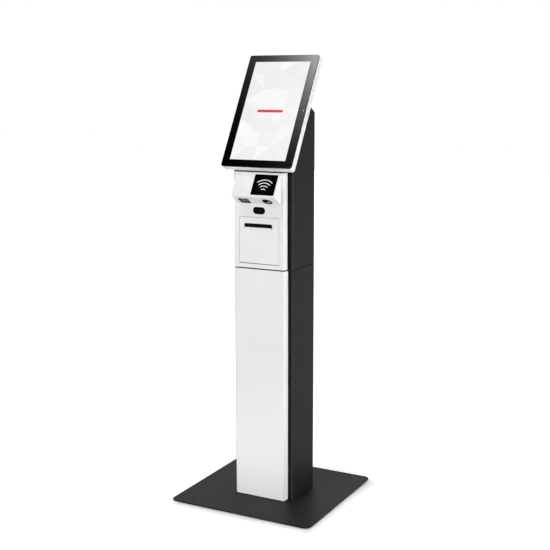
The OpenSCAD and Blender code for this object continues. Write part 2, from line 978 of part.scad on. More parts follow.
// Snap-in housing of the rocker, with a pivot pin across its well
module switch_body() {
  rim = 1.5;
  rim_t = 1.6;
  depth = 18;
  well = 9;
  color(black)
    translate([inlet_x, column_back, inlet_mid_z]) {
      difference() {
        union() {
          upright(rim_t)
            round_rect(switch_w + 2 * rim, switch_h + 2 * rim, rim);
          translate([0, -depth, 0])
            upright(depth)
              square([switch_w, switch_h], center = true);
        }
        translate([0, -well, 0])
          upright(well + rim_t + cut)
            square([switch_w - 2 * switch_wall, switch_h - 2 * switch_wall], center = true);
      }
      translate([-switch_w / 2, -rocker_pin_in, 0])
        bar_x(rocker_pin_d, switch_w);
    }
}

// Rocker with a shallow valley, leaning to one side about a pivot behind the panel
module switch_rocker() {
  end_gap = 1;
  half = switch_h / 2 - switch_wall - end_gap;
  face = 5;
  color(dark_grey)
    translate([inlet_x, column_back - rocker_pin_in, inlet_mid_z])
      rotate([rocker_lean, 0, 0])
        across(switch_w - 2 * switch_wall - 2 * clear)
          difference() {
            union() {
              polygon([
                [0, -half], [face, -half], [face - half * tan(rocker_lean), 0], [face, half],
                [0, half]
              ]);
              circle(d = 3 * rocker_pin_d);
            }
            circle(d = rocker_pin_d + 2 * run_fit);
          }
}

module power_supply() {
  vent_n = 7;
  vent_w = 5;
  vent_depth = 1.5;
  vent_pitch = supply_w / (vent_n + 1);
  block_w = supply_w - 20;
  block_h = 12;
  block_d = 16;
  block_y = 8;
  clamp_n = 7;
  clamp_pitch = block_w / clamp_n;
  clamp_gap = 2;
  clamp_h = 8;
  clamp_depth = 5;
  screw_bore = 8;
  color(steel)
    translate([0, column_back - sheet_t - supply_d, plate_z1 + foot_t + supply_z])
      difference() {
        union() {
          translate([-supply_w / 2, 0, 0])
            cube([supply_w, supply_d, supply_h]);
          translate([-block_w / 2, block_y, -block_h])
            cube([block_w, block_d, block_h + cut]);
        }
        for (i = [1:vent_n])
          translate([i * vent_pitch - supply_w / 2, -cut, supply_h / 2])
            upright(vent_depth + cut)
              rotate(90)
                stadium(supply_h * 0.7, vent_w);
        for (i = [0:clamp_n - 1])
          translate([(i + 0.5) * clamp_pitch - block_w / 2, block_y - cut, -block_h / 2])
            upright(clamp_depth + cut)
              square([clamp_pitch - clamp_gap, clamp_h], center = true);
        for (s = [-1, 1], z = [supply_screw_z, supply_h - supply_screw_z])
          translate([s * supply_screw_x, supply_d - screw_bore, z])
            bar_y(screw_d + hold_fit, screw_bore + cut);
      }
}

// Reader module

module reader_housing() {
  color(white)
    difference() {
      across(reader_w)
        polygon([
          [reader_y, reader_z],
          [panel_front - reader_ledge, fascia_z1],
          [panel_front, fascia_z1],
          [panel_front, reader_z0]
        ]);
      intersection() {
        in_reader()
          translate([reader_wall - reader_w / 2, reader_wall, reader_wall])
            cube([reader_w - 2 * reader_wall, 2 * reader_proud, 2 * reader_rise]);
        translate([-reader_w / 2, reader_y, reader_z0 - cut])
          cube([reader_w, reader_proud + cut, fascia_z1 - reader_wall - reader_z0 + cut]);
      }
      in_reader() {
        translate([nfc_x, -cut, nfc_up + nfc_h / 2])
          upright(nfc_recess + cut)
            round_rect(nfc_w, nfc_h, nfc_r);
        translate([scanner_x, scanner_back, -cut])
          linear_extrude(reader_wall + 2 * cut)
            square([scanner_w - scanner_rim, scanner_l - scanner_rim], center = true);
        translate([button_x, button_back, -cut])
          cylinder(d = button_d - button_ring, h = reader_wall + 2 * cut);
      }
    }
}

module nfc_window() {
  color(black)
    in_reader()
      translate([nfc_x, -nfc_proud, nfc_up + nfc_h / 2])
        upright(nfc_recess + nfc_proud)
          round_rect(nfc_w - 2 * fit, nfc_h - 2 * fit, nfc_r - fit);
}

// Antenna board against the inside of the face
module nfc_board() {
  board_in = 9;
  shift = [-4, -3];
  chip = 14;
  chip_t = 3.6;
  plug = [8, 6];
  plug_t = 3;
  plug_at = [18, -12];
  color(board_green)
    in_reader()
      translate([nfc_x + shift[0], reader_wall, nfc_up + nfc_h / 2 + shift[1]])
        union() {
          upright(board_t)
            square([nfc_w - 2 * board_in, nfc_h - 3 * board_in], center = true);
          upright(chip_t)
            square(chip, center = true);
          translate([plug_at[0], 0, plug_at[1]])
            upright(plug_t)
              square(plug, center = true);
        }
}

module scanner_bezel() {
  body_l = reader_wall + scanner_in;
  rim_r = 2;
  color(black)
    in_reader()
      translate([scanner_x, scanner_back, 0])
        difference() {
          union() {
            translate([0, 0, -scanner_rim_t])
              linear_extrude(scanner_rim_t)
                round_rect(scanner_w, scanner_l, rim_r);
            linear_extrude(body_l)
              square([scanner_w - scanner_rim - 2 * fit, scanner_l - scanner_rim - 2 * fit],
                center = true);
          }
          translate([0, 0, -scanner_rim_t - cut])
            linear_extrude(body_l + scanner_rim_t + 2 * cut)
              square([scanner_w - 2 * scanner_rim, scanner_l - 2 * scanner_rim], center = true);
        }
}

module scanner_glass() {
  recess = 0.2;
  pane_t = 1.5;
  color(dark_grey)
    in_reader()
      translate([scanner_x, scanner_back, recess])
        linear_extrude(pane_t)
          square([scanner_w - 2 * scanner_rim - 2 * fit, scanner_l - 2 * scanner_rim - 2 * fit],
            center = true);
}

// Scan engine behind its bezel, with a lens that looks out through the glass
module scanner_engine() {
  depth = 14;
  eye_d = 9;
  eye_l = 2.5;
  lamp_d = 5;
  lamp_l = 1.5;
  lamp_x = 8.5;
  color(dark_grey)
    in_reader()
      translate([scanner_x, scanner_back, reader_wall + scanner_in])
        union() {
          linear_extrude(depth)
            square([scanner_w - scanner_rim, scanner_l - scanner_rim], center = true);
          translate([0, 0, -eye_l])
            cylinder(d = eye_d, h = eye_l + cut);
          for (s = [-1, 1])
            translate([s * lamp_x, 0, -lamp_l])
              cylinder(d = lamp_d, h = lamp_l + cut);
        }
}

module button_bezel() {
  color(black)
    in_reader()
      translate([button_x, button_back, 0])
        difference() {
          union() {
            translate([0, 0, -button_ring_t])
              cylinder(d = button_d, h = button_ring_t);
            cylinder(d = button_d - button_ring - 2 * fit, h = button_barrel_l);
          }
          translate([0, 0, -button_ring_t - cut])
            cylinder(d = button_d - 2 * button_ring, h = button_barrel_l + button_ring_t + 2 * cut);
        }
}

// Domed cap that slides up into its bezel
module button_cap() {
  cap_r = button_d / 2 - button_ring - clear;
  dome_h = 2.5;
  dome_r = (cap_r * cap_r + dome_h * dome_h) / (2 * dome_h);
  end_gap = 1;
  color(dark_grey)
    in_reader()
      translate([button_x, button_back, -button_crown])
        intersection() {
          cylinder(r = cap_r, h = button_crown + button_barrel_l - button_travel - end_gap);
          translate([0, 0, dome_r])
            sphere(dome_r, $fn = 96);
        }
}

module button_switch() {
  depth = 10;
  tag = [0.8, 4, 6];
  tag_x = 5;
  color(black)
    in_reader()
      translate([button_x, button_back, button_barrel_l])
        union() {
          cylinder(d = button_d - button_ring - 2 * fit, h = depth);
          for (s = [-1, 1])
            translate([s * tag_x - tag[0] / 2, -tag[1] / 2, depth - cut])
              cube(tag + [0, 0, cut]);
        }
}

// Sensor window

module sensor_window() {
  color(black)
    translate([0, panel_front + sensor_recess, sensor_z])
      upright(panel_t - sensor_recess)
        stadium(sensor_w - 2 * fit, sensor_h - 2 * fit);
}

// Holder behind the fascia with bores for the camera and two lights
module sensor_holder() {
  side_rim = 6;
  end_rim = 5;
  color(dark_grey)
    translate([0, panel_back, sensor_z])
      difference() {
        upright(holder_d)
          stadium(sensor_w + 2 * side_rim, sensor_h + 2 * end_rim);
        translate([0, -cut, 0])
          bar_y(lens_d + 2 * fit, holder_d + 2 * cut);
        for (s = [-1, 1])
          translate([s * light_pitch, -cut, 0])
            bar_y(light_d + 2 * fit, holder_d + 2 * cut);
      }
}

module sensor_camera() {
  setback = 0.5;
  board_in = [2, 1];
  color(board_green)
    translate([0, panel_back, sensor_z])
      union() {
        translate([0, holder_d, 0])
          upright(board_t)
            round_rect(sensor_w - 2 * board_in[0], sensor_h - 2 * board_in[1], 2);
        translate([0, setback, 0])
          bar_y(lens_d, holder_d);
        for (s = [-1, 1])
          translate([s * light_pitch, setback, 0])
            bar_y(light_d, holder_d);
      }
}

// Printer door

// Opening for the slot and its lip, with a square foot and round upper corners
module slot_outline(w, h, r) {
  translate([-w / 2, 0])
    square([w, h - r]);
  translate([r - w / 2, 0])
    square([w - 2 * r, h]);
  for (s = [-1, 1])
    translate([s * (w / 2 - r), h - r])
      circle(r);
}

module printer_door() {
  plate_z = barrel_r;
  color(white)
    translate([0, panel_front, door_z0])
      difference() {
        union() {
          translate([-door_w / 2, 0, plate_z])
            cube([door_w, door_t, door_h - plate_z]);
          translate([-door_w / 2, barrel_r, barrel_r])
            bar_x(2 * barrel_r, door_w);
          difference() {
            translate([-door_w / 2, 0, 4 * barrel_r])
              cube([door_w, door_rim, door_h - 4 * barrel_r]);
            translate([door_t - door_w / 2, -cut, 4 * barrel_r - cut])
              cube([door_w - 2 * door_t, door_rim + 2 * cut, door_h - 4 * barrel_r - door_t + cut]);
          }
          translate([-strike_w / 2, door_t - cut, door_h - door_t - strike_h])
            cube([strike_w, door_rim - door_t + cut, strike_h + cut]);
        }
        translate([-door_w / 2 - cut, barrel_r, barrel_r])
          bar_x(hinge_pin_d + 2 * run_fit, door_w + 2 * cut);
        translate([slot_x, -cut, slot_z0 - door_z0])
          upright(door_t + 2 * cut)
            slot_outline(slot_w, slot_h, slot_r);
      }
}

// Lip that swells out under the slot, on a foot behind the door's sheet
module paper_lip() {
  foot_h = 10;
  foot_t = 2;
  tip_t = 2.2;
  lip_w = slot_w - 2 * lip_gap;
  color(white)
    translate([slot_x, panel_front, slot_z0])
      intersection() {
        across(lip_w)
          polygon([
            [0, fit], [-0.7 * lip_proud, 0.5 * lip_h], [-lip_proud, 0.87 * lip_h],
            [tip_t / 2 - lip_proud, lip_h], [tip_t, 0.94 * lip_h], [door_t + foot_t / 2, 0.5 * lip_h],
            [door_t + foot_t, fit], [door_t + foot_t, -foot_h], [door_t, -foot_h], [door_t, fit]
          ]);
        translate([0, -lip_proud - cut, -foot_h])
          upright(door_t + foot_t + lip_proud + 2 * cut)
            slot_outline(lip_w, foot_h + lip_h, slot_r);
      }
}

// Pin through the door's barrel, and the ears on the back of the fascia that carry its ends
module door_hinge() {
  pin_l = 2 * (ear_x + ear_w);
  color(steel) {
    translate([-pin_l / 2, door_pin_y, door_pin_z])
      bar_x(hinge_pin_d, pin_l);
    for (s = [-1, 1])
      translate([s > 0 ? ear_x : -ear_x - ear_w, 0, 0])
        difference() {
          sideways(ear_w) {
            translate([panel_back, door_pin_z - barrel_r])
              square([door_pin_y - panel_back, 2 * barrel_r]);
            translate([door_pin_y, door_pin_z])
              circle(barrel_r);
          }
          translate([-cut, panel_back - 2 * barrel_r, door_pin_z - 2 * barrel_r])
            cube([ear_w + 2 * cut, 2 * barrel_r, 4 * barrel_r]);
          translate([-cut, door_pin_y, door_pin_z])
            bar_x(hinge_pin_d + 2 * run_fit, ear_w + 2 * cut);
        }
  }
}

// Magnet on the carrier that holds the door's strike
module door_magnet() {
  front = panel_front + door_rim + clear;
  side_in = 2;
  top_in = 2;
  color(dark_grey)
    translate([side_in - strike_w / 2, front, door_z1 - door_t - strike_h])
      cube([strike_w - 2 * side_in, carrier_front - front, strike_h - top_in]);
}

// Printer

module printer_frame() {
  flange_out = boss_x + boss_d / 2;
  back_h = 30;
  shaft_gap = 2;
  color(steel)
    difference() {
      union() {
        for (s = [-1, 1])
          translate([s > 0 ? frame_in : -frame_w / 2, frame_front, frame_z0])
            cube([frame_t, frame_d, frame_z1 - frame_z0]);
        translate([-frame_w / 2, frame_front, frame_z0])
          cube([frame_w, frame_d, frame_t]);
        for (s = [-1, 1])
          translate([s > 0 ? frame_in : -flange_out, frame_front, frame_z0])
            cube([flange_out - frame_in, frame_t, frame_z1 - frame_z0]);
        translate([-frame_w / 2, frame_front + frame_d - frame_t, frame_z0])
          cube([frame_w, frame_t, back_h]);
      }
      flange_holes(fascia_rows());
      translate([-frame_w / 2 - cut, platen_y, platen_z])
        bar_x(bush_d + 2 * fit, frame_w + 2 * cut);
      translate([frame_in - cut, pinion_y, pinion_z])
        bar_x(pinion_shaft_d + 2 * shaft_gap, frame_t + 2 * cut);
      translate([frame_in - cut, idler_y, idler_z])
        bar_x(idler_pin_d + 2 * fit, frame_t + 2 * cut);
    }
}

// Trough under the roll, with cheeks at its ends and two feet on the frame's floor
module paper_bucket() {
  inner_r = roll_r + clear;
  outer_r = inner_r + bucket_t;
  rim_z = roll_z - 8;
  side_gap = 0.8;
  inner_w = paper_w + 2 * side_gap;
  rib_t = 6;
  color(black)
    intersection() {
      difference() {
        union() {
          translate([-inner_w / 2 - bucket_t, roll_y, roll_z])
            bar_x(2 * outer_r, inner_w + 2 * bucket_t);
          for (s = [-1, 1])
            translate([-inner_w / 2, roll_y + s * outer_r / 2 - rib_t / 2, frame_floor])
              cube([inner_w, rib_t, outer_r]);
        }
        translate([-inner_w / 2, roll_y, roll_z])
          bar_x(2 * inner_r, inner_w);
        translate([-inner_w, roll_y, roll_z])
          bar_x(roll_d * 0.6, 2 * inner_w);
      }
      translate([-frame_w / 2, roll_y - outer_r, frame_floor])
        cube([frame_w, 2 * outer_r, rim_z - frame_floor]);
    }
}

module paper_roll() {
  color("white")
    translate([-paper_w / 2, roll_y, roll_z])
      difference() {
        bar_x(roll_d, paper_w);
        translate([-cut, 0, 0])
          bar_x(core_d + 2 * fit, paper_w + 2 * cut);
      }
}

module roll_core() {
  color("tan")
    translate([-paper_w / 2, roll_y, roll_z])
      difference() {
        bar_x(core_d, paper_w);
        translate([-cut, 0, 0])
          bar_x(core_bore, paper_w + 2 * cut);
      }
}

module platen_roller() {
  side_over = 1;
  l = paper_w + 2 * side_over;
  color(black)
    translate([-l / 2, platen_y, platen_z])
      difference() {
        bar_x(platen_d, l);
        translate([-cut, 0, 0])
          bar_x(shaft_d + fit, l + 2 * cut);
      }
}

module platen_shaft() {
  left_end = 1.5;
  right_end = 0.5;
  left = -frame_w / 2 - left_end;
  right = gear_x + gear_w + right_end;
  color(steel)
    translate([left, platen_y, platen_z])
      bar_x(shaft_d, right - left);
}

module platen_bushes() {
  color(dark_grey)
    for (s = [-1, 1])
      translate([s * (frame_w / 2 - frame_t / 2) - bush_l / 2, platen_y, platen_z])
        difference() {
          bar_x(bush_d, bush_l);
          translate([-cut, 0, 0])
            bar_x(shaft_d + 2 * run_fit, bush_l + 2 * cut);
        }
}

module platen_gear() {
  color(dark_grey)
    translate([gear_x, platen_y, platen_z])
      gear(platen_teeth, platen_phase, shaft_d + fit);
}

module idler_gear() {
  color(dark_grey)
    translate([gear_x, idler_y, idler_z])
      gear(idler_teeth, idler_phase, idler_pin_d + 2 * run_fit);
}

// Pin with a shoulder against the frame and a retaining disc outside the gear
module idler_pin() {
  disc_x = gear_x + gear_w + clear - frame_in;
  color(steel)
    translate([frame_in, idler_y, idler_z])
      union() {
        bar_x(idler_pin_d, disc_x + idler_disc_t);
        translate([frame_t, 0, 0])
          bar_x(idler_collar_d, gear_gap - clear);
        translate([disc_x, 0, 0])
          bar_x(idler_collar_d, idler_disc_t);
      }
}

module motor_pinion() {
  shaft_end = 1;
  color(steel)
    translate([gear_x, pinion_y, pinion_z])
      union() {
        gear(pinion_teeth, pinion_phase, pinion_shaft_d / 2);
        translate([frame_in - pinion_shaft_in - gear_x, 0, 0])
          bar_x(pinion_shaft_d, gear_x + gear_w + shaft_end - frame_in + pinion_shaft_in);
      }
}

module feed_motor() {
  ear_t = 1;
  ear_h = 8;
  ear_span = motor_d + 9;
  color(steel)
    translate([frame_in - motor_l, pinion_y, pinion_z])
      difference() {
        union() {
          bar_x(motor_d, motor_l);
          translate([motor_l - ear_t, 0, 0])
            sideways(ear_t)
              stadium(ear_span, ear_h);
        }
        translate([motor_l - motor_bore_l, 0, 0])
          bar_x(pinion_shaft_d + 2 * run_fit, motor_bore_l + cut);
      }
}

// Heated strip on a finned block, right above the platen
module print_head() {
  l = paper_w + 2 * strip_over;
  depth = 22;
  front = 8;
  fin_n = 4;
  fin_y = 11.6;
  fin_pitch = 2.6;
  fin_gap = 1.3;
  fin_root = 2;
  color(dark_grey)
    translate([-l / 2, platen_y - front, head_z0])
      difference() {
        cube([l, depth, print_head_h]);
        for (i = [0:fin_n - 1])
          translate([-cut, fin_y + i * fin_pitch, -cut])
            cube([l + 2 * cut, fin_gap, print_head_h - fin_root + cut]);
      }
}

// Cross member between the frame's sides, with an upright for the magnet and the tear bar
module head_carrier() {
  depth = 26;
  post_t = 2;
  color(steel)
    translate([-frame_in, carrier_front, carrier_z0])
      union() {
        cube([2 * frame_in, depth, carrier_t]);
        translate([frame_in - strike_w / 2, 0, 0])
          cube([strike_w, post_t, door_z1 - carrier_z0]);
      }
}

// Steel strip with a row of teeth along its lower edge
module tear_bar() {
  n = floor((paper_w + 2 * strip_over) / tear_pitch);
  blade_t = 1.2;
  tooth_h = 1.6;
  tip_gap = 1.2;
  tip_z = nip_z + tip_gap;
  color(steel)
    translate([-n * tear_pitch / 2, carrier_front - blade_t, 0])
      upright(blade_t)
        polygon(concat(
          [for (i = [0:n - 1], k = [0, 1]) [(i + k / 2) * tear_pitch, tip_z + (1 - k) * tooth_h]],
          [
            [n * tear_pitch, tip_z + tooth_h],
            [n * tear_pitch, carrier_z0 + carrier_t],
            [0, carrier_z0 + carrier_t]
          ]
        ));
}

// Display head

module touch_glass() {
  color(black)
    in_head()
      head_slab(glass_t);
}

module display_panel() {
  front_t = 0.6 * display_t;
  back_in = 14;
  w = active_w + 2 * display_rim;
  h = active_h + 2 * display_rim;
  color(dark_grey)
    in_head()
      translate([0, glass_t, glass_h / 2])
        union() {
          upright(front_t)
            square([w, h], center = true);
          upright(display_t)
            square([w - 2 * back_in, h - 2 * back_in], center = true);
        }
}

// Open rim behind the glass, with an inner plate that carries the display panel and the board
module head_frame() {
  color(white)
    in_head()
      difference() {
        translate([0, glass_t, 0])
          head_slab(cover_y - glass_t);
        translate([0, glass_t - cut, glass_h / 2])
          upright(display_t + cut)
            round_rect(glass_w - 2 * head_wall, glass_h - 2 * head_wall, head_corner_r - head_wall);
        translate([0, mid_y + mid_t, glass_h / 2])
          upright(cover_y - mid_y - mid_t + cut)
            round_rect(glass_w - 2 * head_wall, glass_h - 2 * head_wall, head_corner_r - head_wall);
      }
}

module head_back_cover() {
  vent_n = 9;
  vent_pitch = 12;
  vent_w = 4;
  vent_l = 50;
  vent_top = 60;
  boss = 12;
  boss_end = 1;
  color(white)
    in_head()
      difference() {
        union() {
          difference() {
            translate([0, cover_y, 0])
              head_slab(cover_d);
            translate([0, cover_y - cut, glass_h / 2])
              upright(cover_d - head_wall + cut)
                round_rect(glass_w - 2 * head_wall, glass_h - 2 * head_wall,
                  head_corner_r - head_wall);
          }
          for (sx = [-1, 1], sz = [-1, 1])
            translate([sx * vesa / 2, cover_y, bolt_row_z + sz * vesa / 2])
              bar_y(boss, cover_d);
        }
        for (sx = [-1, 1], sz = [-1, 1])
          translate([sx * vesa / 2, cover_y + boss_end, bolt_row_z + sz * vesa / 2])
            bar_y(screw_d + hold_fit, cover_d);
        translate([0, head_t - head_wall - cut, bolt_row_z])
          upright(head_wall + 2 * cut)
            round_rect(head_cable_w, head_cable_h, cable_r);
        for (i = [0:vent_n - 1])
          translate([(i - (vent_n - 1) / 2) * vent_pitch, head_t - head_wall - cut, glass_h - vent_top])
            upright(head_wall + 2 * cut)
              rotate(90)
                stadium(vent_l, vent_w);
      }
}

// Board on standoffs behind the inner plate, above the head bolts
module main_board() {
  gap = 1.5;
  above = 12;
  post_d = 6;
  post_in = 5;
  chip = 40;
  chip_t = 4.5;
  chip_at = [-20, 10];
  plug = [30, 12];
  plug_t = 3.5;
  plug_at = [35, -30];
  board_z = bolt_row_z + vesa / 2 + above + board_h / 2;
  color(board_green)
    in_head()
      translate([0, mid_y + mid_t, board_z])
        union() {
          translate([0, gap, 0])
            upright(board_t)
              square([board_w, board_h], center = true);
          for (sx = [-1, 1], sz = [-1, 1])
            translate([sx * (board_w / 2 - post_in), 0, sz * (board_h / 2 - post_in)])
              bar_y(post_d, gap + board_t / 2);
          translate([chip_at[0], gap, chip_at[1]])
            upright(chip_t)
              square(chip, center = true);
          translate([plug_at[0], gap, plug_at[1]])
            upright(plug_t)
              square(plug, center = true);
        }
}

module head_bolts() {
  tip_gap = 2;
  color(steel)
    in_head()
      for (sx = [-1, 1], sz = [-1, 1])
        translate([sx * vesa / 2, head_t + fit + sheet_t, bolt_row_z + sz * vesa / 2])
          screw_in(sheet_t + fit + cover_d - tip_gap);
}

// Service door

module rear_door() {
  w = rear_w - 2 * rear_gap;
  h = rear_h - 2 * rear_gap;
  vent_n = 8;
  vent_pitch = 12;
  vent_w = 4;
  vent_l = 70;
  vent_end = 40;
  color(black)
    translate([0, column_back, rear_mid])
      difference() {
        translate([-w / 2, -sheet_t - rear_door_rim, -h / 2])
          cube([w, sheet_t + rear_door_rim, h]);
        translate([sheet_t - w / 2, -sheet_t - rear_door_rim - cut, sheet_t - h / 2])
          cube([w - 2 * sheet_t, rear_door_rim + cut, h - 2 * sheet_t]);
        translate([lock_x, -sheet_t - cut, 0])
          bar_y(lock_d + 2 * fit, sheet_t + 2 * cut);
        for (sz = [-1, 1], i = [0:vent_n - 1])
          translate([0, -sheet_t - cut, sz * (h / 2 - vent_end - i * vent_pitch)])
            upright(sheet_t + 2 * cut)
              stadium(vent_l, vent_w);
      }
}

// Lower ends of the two service hinges
function rear_hinge_zs() = [rear_z0 + hinge_inset, rear_z1 - hinge_inset - hinge_l];

// A leaf to the right of the pin, with knuckles over the given stretches, each [start, length]
module hinge_leaf(stretches) {
  difference() {
    union() {
      translate([knuckle_r + clear, -knuckle_r, 0])
        cube([leaf_w, leaf_t, hinge_l]);
      for (k = stretches)
        translate([0, 0, k[0]]) {
          cylinder(r = knuckle_r, h = k[1]);
          translate([0, -knuckle_r, 0])
            cube([knuckle_r + clear + cut, leaf_t, k[1]]);
        }
    }
    translate([0, 0, -cut])
      cylinder(d = knuckle_pin_d + 2 * run_fit, h = hinge_l + 2 * cut);
  }
}

// Moving leaves: one knuckle each, on the service door
module rear_door_leaves() {
  color(steel)
    for (z = rear_hinge_zs())
      translate([rear_pin_x, rear_pin_y, z])
        hinge_leaf([[knuckle_l + clear, knuckle_l - 2 * clear]]);
}

// Fixed leaves with two knuckles each, on the column's back, and their pins
module rear_hinges() {
  cap_r = knuckle_r - 0.5;
  cap_t = 1.5;
  color(steel)
    for (z = rear_hinge_zs())
      translate([rear_pin_x, rear_pin_y, z]) {
        mirror([1, 0, 0])
          hinge_leaf([[0, knuckle_l], [2 * knuckle_l, knuckle_l]]);
        cylinder(d = knuckle_pin_d, h = hinge_l);
        translate([0, 0, hinge_l])
          cylinder(r = cap_r, h = cap_t);
      }
}

module lock_barrel() {
  rim = 2;
  l = column_back - cam_y1;
  color(steel)
    translate([lock_x, cam_y1, lock_z])
      difference() {
        union() {
          translate([0, l, 0])
            bar_y(lock_d + 2 * rim, lock_flange_t);
          bar_y(lock_d, l + lock_flange_t / 2);
        }
        translate([0, -cut, 0])
          bar_y(plug_d + 2 * run_fit, l + lock_flange_t + 2 * cut);
      }
}

// Turning plug with a key slot in its outer end
module lock_plug() {
  key = [1.6, 6, 7];
  l = column_back - cam_y1 + plug_proud;
  color(steel)
    translate([lock_x, cam_y1, lock_z])
      difference() {
        bar_y(plug_d, l);
        translate([-key[0] / 2, l - key[1], -key[2] / 2])
          cube(key + [0, cut, 0]);
      }
}

// Cam at the plug's inner end, hanging down when unlocked
module lock_cam() {
  color(steel)
    translate([lock_x, cam_y1 - cam_t, lock_z])
      upright(cam_t)
        union() {
          circle(d = plug_d + 2);
          translate([-cam_w / 2, -cam_l])
            square([cam_w, cam_l]);
        }
}

base_plate();
base_pads();
lower_column();
lower_front_panel();
power_inlet();
switch_body();
switch_rocker();
power_supply();
seam_gasket();
column_bolts();
upper_deck();
upper_body();
neck_plate();
service_frame();
upper_fascia();
panel_screws();
reader_housing();
nfc_window();
nfc_board();
scanner_bezel();
scanner_glass();
scanner_engine();
button_bezel();
button_cap();
button_switch();
sensor_window();
sensor_holder();
sensor_camera();
printer_door();
paper_lip();
door_hinge();
door_magnet();
printer_frame();
paper_bucket();
paper_roll();
roll_core();
platen_roller();
platen_shaft();
platen_bushes();
platen_gear();
idler_gear();
idler_pin();
motor_pinion();
feed_motor();
print_head();
head_carrier();
tear_bar();
touch_glass();
display_panel();
head_frame();
head_back_cover();
main_board();
head_bolts();
rear_door();
rear_door_leaves();
rear_hinges();
lock_barrel();
lock_plug();
lock_cam();
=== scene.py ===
"""Looks of the interactive kiosk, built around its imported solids. Lengths are in metres."""
import json
import math
import random

import bmesh
import bpy
from mathutils import Matrix, Vector


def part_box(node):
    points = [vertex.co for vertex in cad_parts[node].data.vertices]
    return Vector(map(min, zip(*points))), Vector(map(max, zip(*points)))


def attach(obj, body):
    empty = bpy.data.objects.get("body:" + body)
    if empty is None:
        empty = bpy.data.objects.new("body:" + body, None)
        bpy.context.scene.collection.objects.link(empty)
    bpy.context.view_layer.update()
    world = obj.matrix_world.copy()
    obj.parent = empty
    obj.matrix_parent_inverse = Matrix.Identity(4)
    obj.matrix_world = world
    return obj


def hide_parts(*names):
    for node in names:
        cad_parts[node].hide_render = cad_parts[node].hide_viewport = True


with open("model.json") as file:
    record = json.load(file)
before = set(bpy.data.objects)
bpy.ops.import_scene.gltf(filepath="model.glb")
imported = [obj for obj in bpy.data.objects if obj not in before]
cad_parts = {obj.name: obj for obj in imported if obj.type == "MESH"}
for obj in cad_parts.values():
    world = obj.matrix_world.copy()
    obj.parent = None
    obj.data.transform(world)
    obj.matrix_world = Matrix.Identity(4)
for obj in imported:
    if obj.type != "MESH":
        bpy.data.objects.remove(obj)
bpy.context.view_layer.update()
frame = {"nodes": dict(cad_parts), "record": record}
MM = 0.001

# Sizes that the solids' boxes don't give
TILT = math.radians(30)
GLASS_T = 3 * MM
GLASS_CORNER_R = 8 * MM
SCREEN_W = 193.6 * MM
SCREEN_H = 344.2 * MM
NFC_T = 1.9 * MM

# Cover glass: edge profile from the front face to the back face, as inset and depth in mm
GLASS_EDGE = ((0.7, 0), (0.35, 0.12), (0.1, 0.4), (0, 0.8), (0, 2.7), (0.3, 3.0))
# Screen: a grid of points, moved at random by a share of its step, split into facets of pale tones
FACET_SEED = 7
FACET_COLUMNS = 4
FACET_ROWS = 7
FACET_JITTER = 0.36
FACET_TONES = (0.87, 0.98)
FACET_BLUE = 1.004
# Bar on the screen, just under its middle, and light in the border beside it
BAR_W = 90 * MM
BAR_H = 9.5 * MM
BAR_R = 4.7 * MM
BAR_DROP = 3 * MM
DOT_D = 2.6 * MM
DOT_X = 114.7 * MM
# Contactless sign: radii of its strokes in mm, about a point above the window's lower edge
SIGN_RADII = (9.1, 19.4, 29.5, 39.5)
SIGN_STROKE = 2.6 * MM
SIGN_HALF_ANGLE = math.radians(39.7)
SIGN_UP = 11.2 * MM
# Border on the scanner's glass: how much less wide and high than the glass it is outside and inside
BORDER_OUTER = (0.6 * MM, 0.6 * MM)
BORDER_INNER = (5 * MM, 6 * MM)
BORDER_OUTER_R = 1 * MM
BORDER_INNER_R = 1.5 * MM
# Marks on the mains rocker: sizes, places from its pivot in mm, and the way that the ring's half faces
MARK_BAR = (0.9 * MM, 3.6 * MM, 0.4 * MM)
MARK_BAR_AT = (0, 3.741, 4.919)
MARK_RING_D = (3.8 * MM, 2.2 * MM)
MARK_RING_AT = (0, 4.952, -3.697)
MARK_RING_OUT = (0, 0.9613, 0.2757)
# Paper strip: thickness, room round the roll and the platen, and length past the platen
PAPER_T = 0.06 * MM
PAPER_OFF_ROLL = 0.3 * MM
PAPER_OFF_PLATEN = 0.03 * MM
PAPER_END = 11.5 * MM
PLATEN_STEPS = 6
# Height and chamfer of prints and moulded marks
BAR_INK = (0.03 * MM, 0.01 * MM)
DOT_INK = (0.08 * MM, 0.04 * MM)
SIGN_INK = (0.06 * MM, 0.02 * MM)
MARK_INK = (0.08 * MM, 0.02 * MM)
BORDER_INK = 0.05 * MM

# Camera, from the photograph's vanishing lines
CAMERA_AT = Vector((1.58107, -2.96794, 1.33439))
CAMERA_YAW = math.radians(27.92)
CAMERA_PITCH = math.radians(10.26)
CAMERA_ROLL = math.radians(-0.07)
CAMERA_LENS = 69.706
CAMERA_SENSOR = 36

# Light: an even room, and lamps as (place, aim, width, power, spread of the beam in degrees)
AMBIENT = 0.2
LAMPS = {
    "fill": ((-1.0, -3.6, 2.6), (0, 0, 0.8), 2.0, 74, 180),
    "side": ((3.6, -0.5, 0.8), (0, 0, 0.1), 1.5, 86, 180),
    "rear": ((0.1, 2.6, 3.2), (0, 0, 0.8), 1.4, 26, 180),
    "low": ((-0.5, -1.7, 0.3), (0, -0.09, -0.08), 0.3, 0.27, 34),
}
# The room is dark where the cover glass would mirror it, but for a soft box
FLAG_WAY = (-0.47, -0.46, 0.75)
FLAG_SHARP = 30
FLAG_SPREAD = 3
BOX_WAY = (-0.3169, -0.4204, 0.8502)
BOX_SHARP = 295
BOX_LEVEL = 128
BOX_CAP = 10
# The white backdrop as gloss mirrors it, behind and to the left
BACK_WAY = (-0.40, 0.82, 0.40)
BACK_SHARP = 8
BACK_LEVEL = 0.8
# The floor's glow as the camera, gloss and glass see it: low in the base's contact shadow, white further out
LIFT_NEAR = 0.02
LIFT_FAR = 0.63
LIFT_TO = 0.055
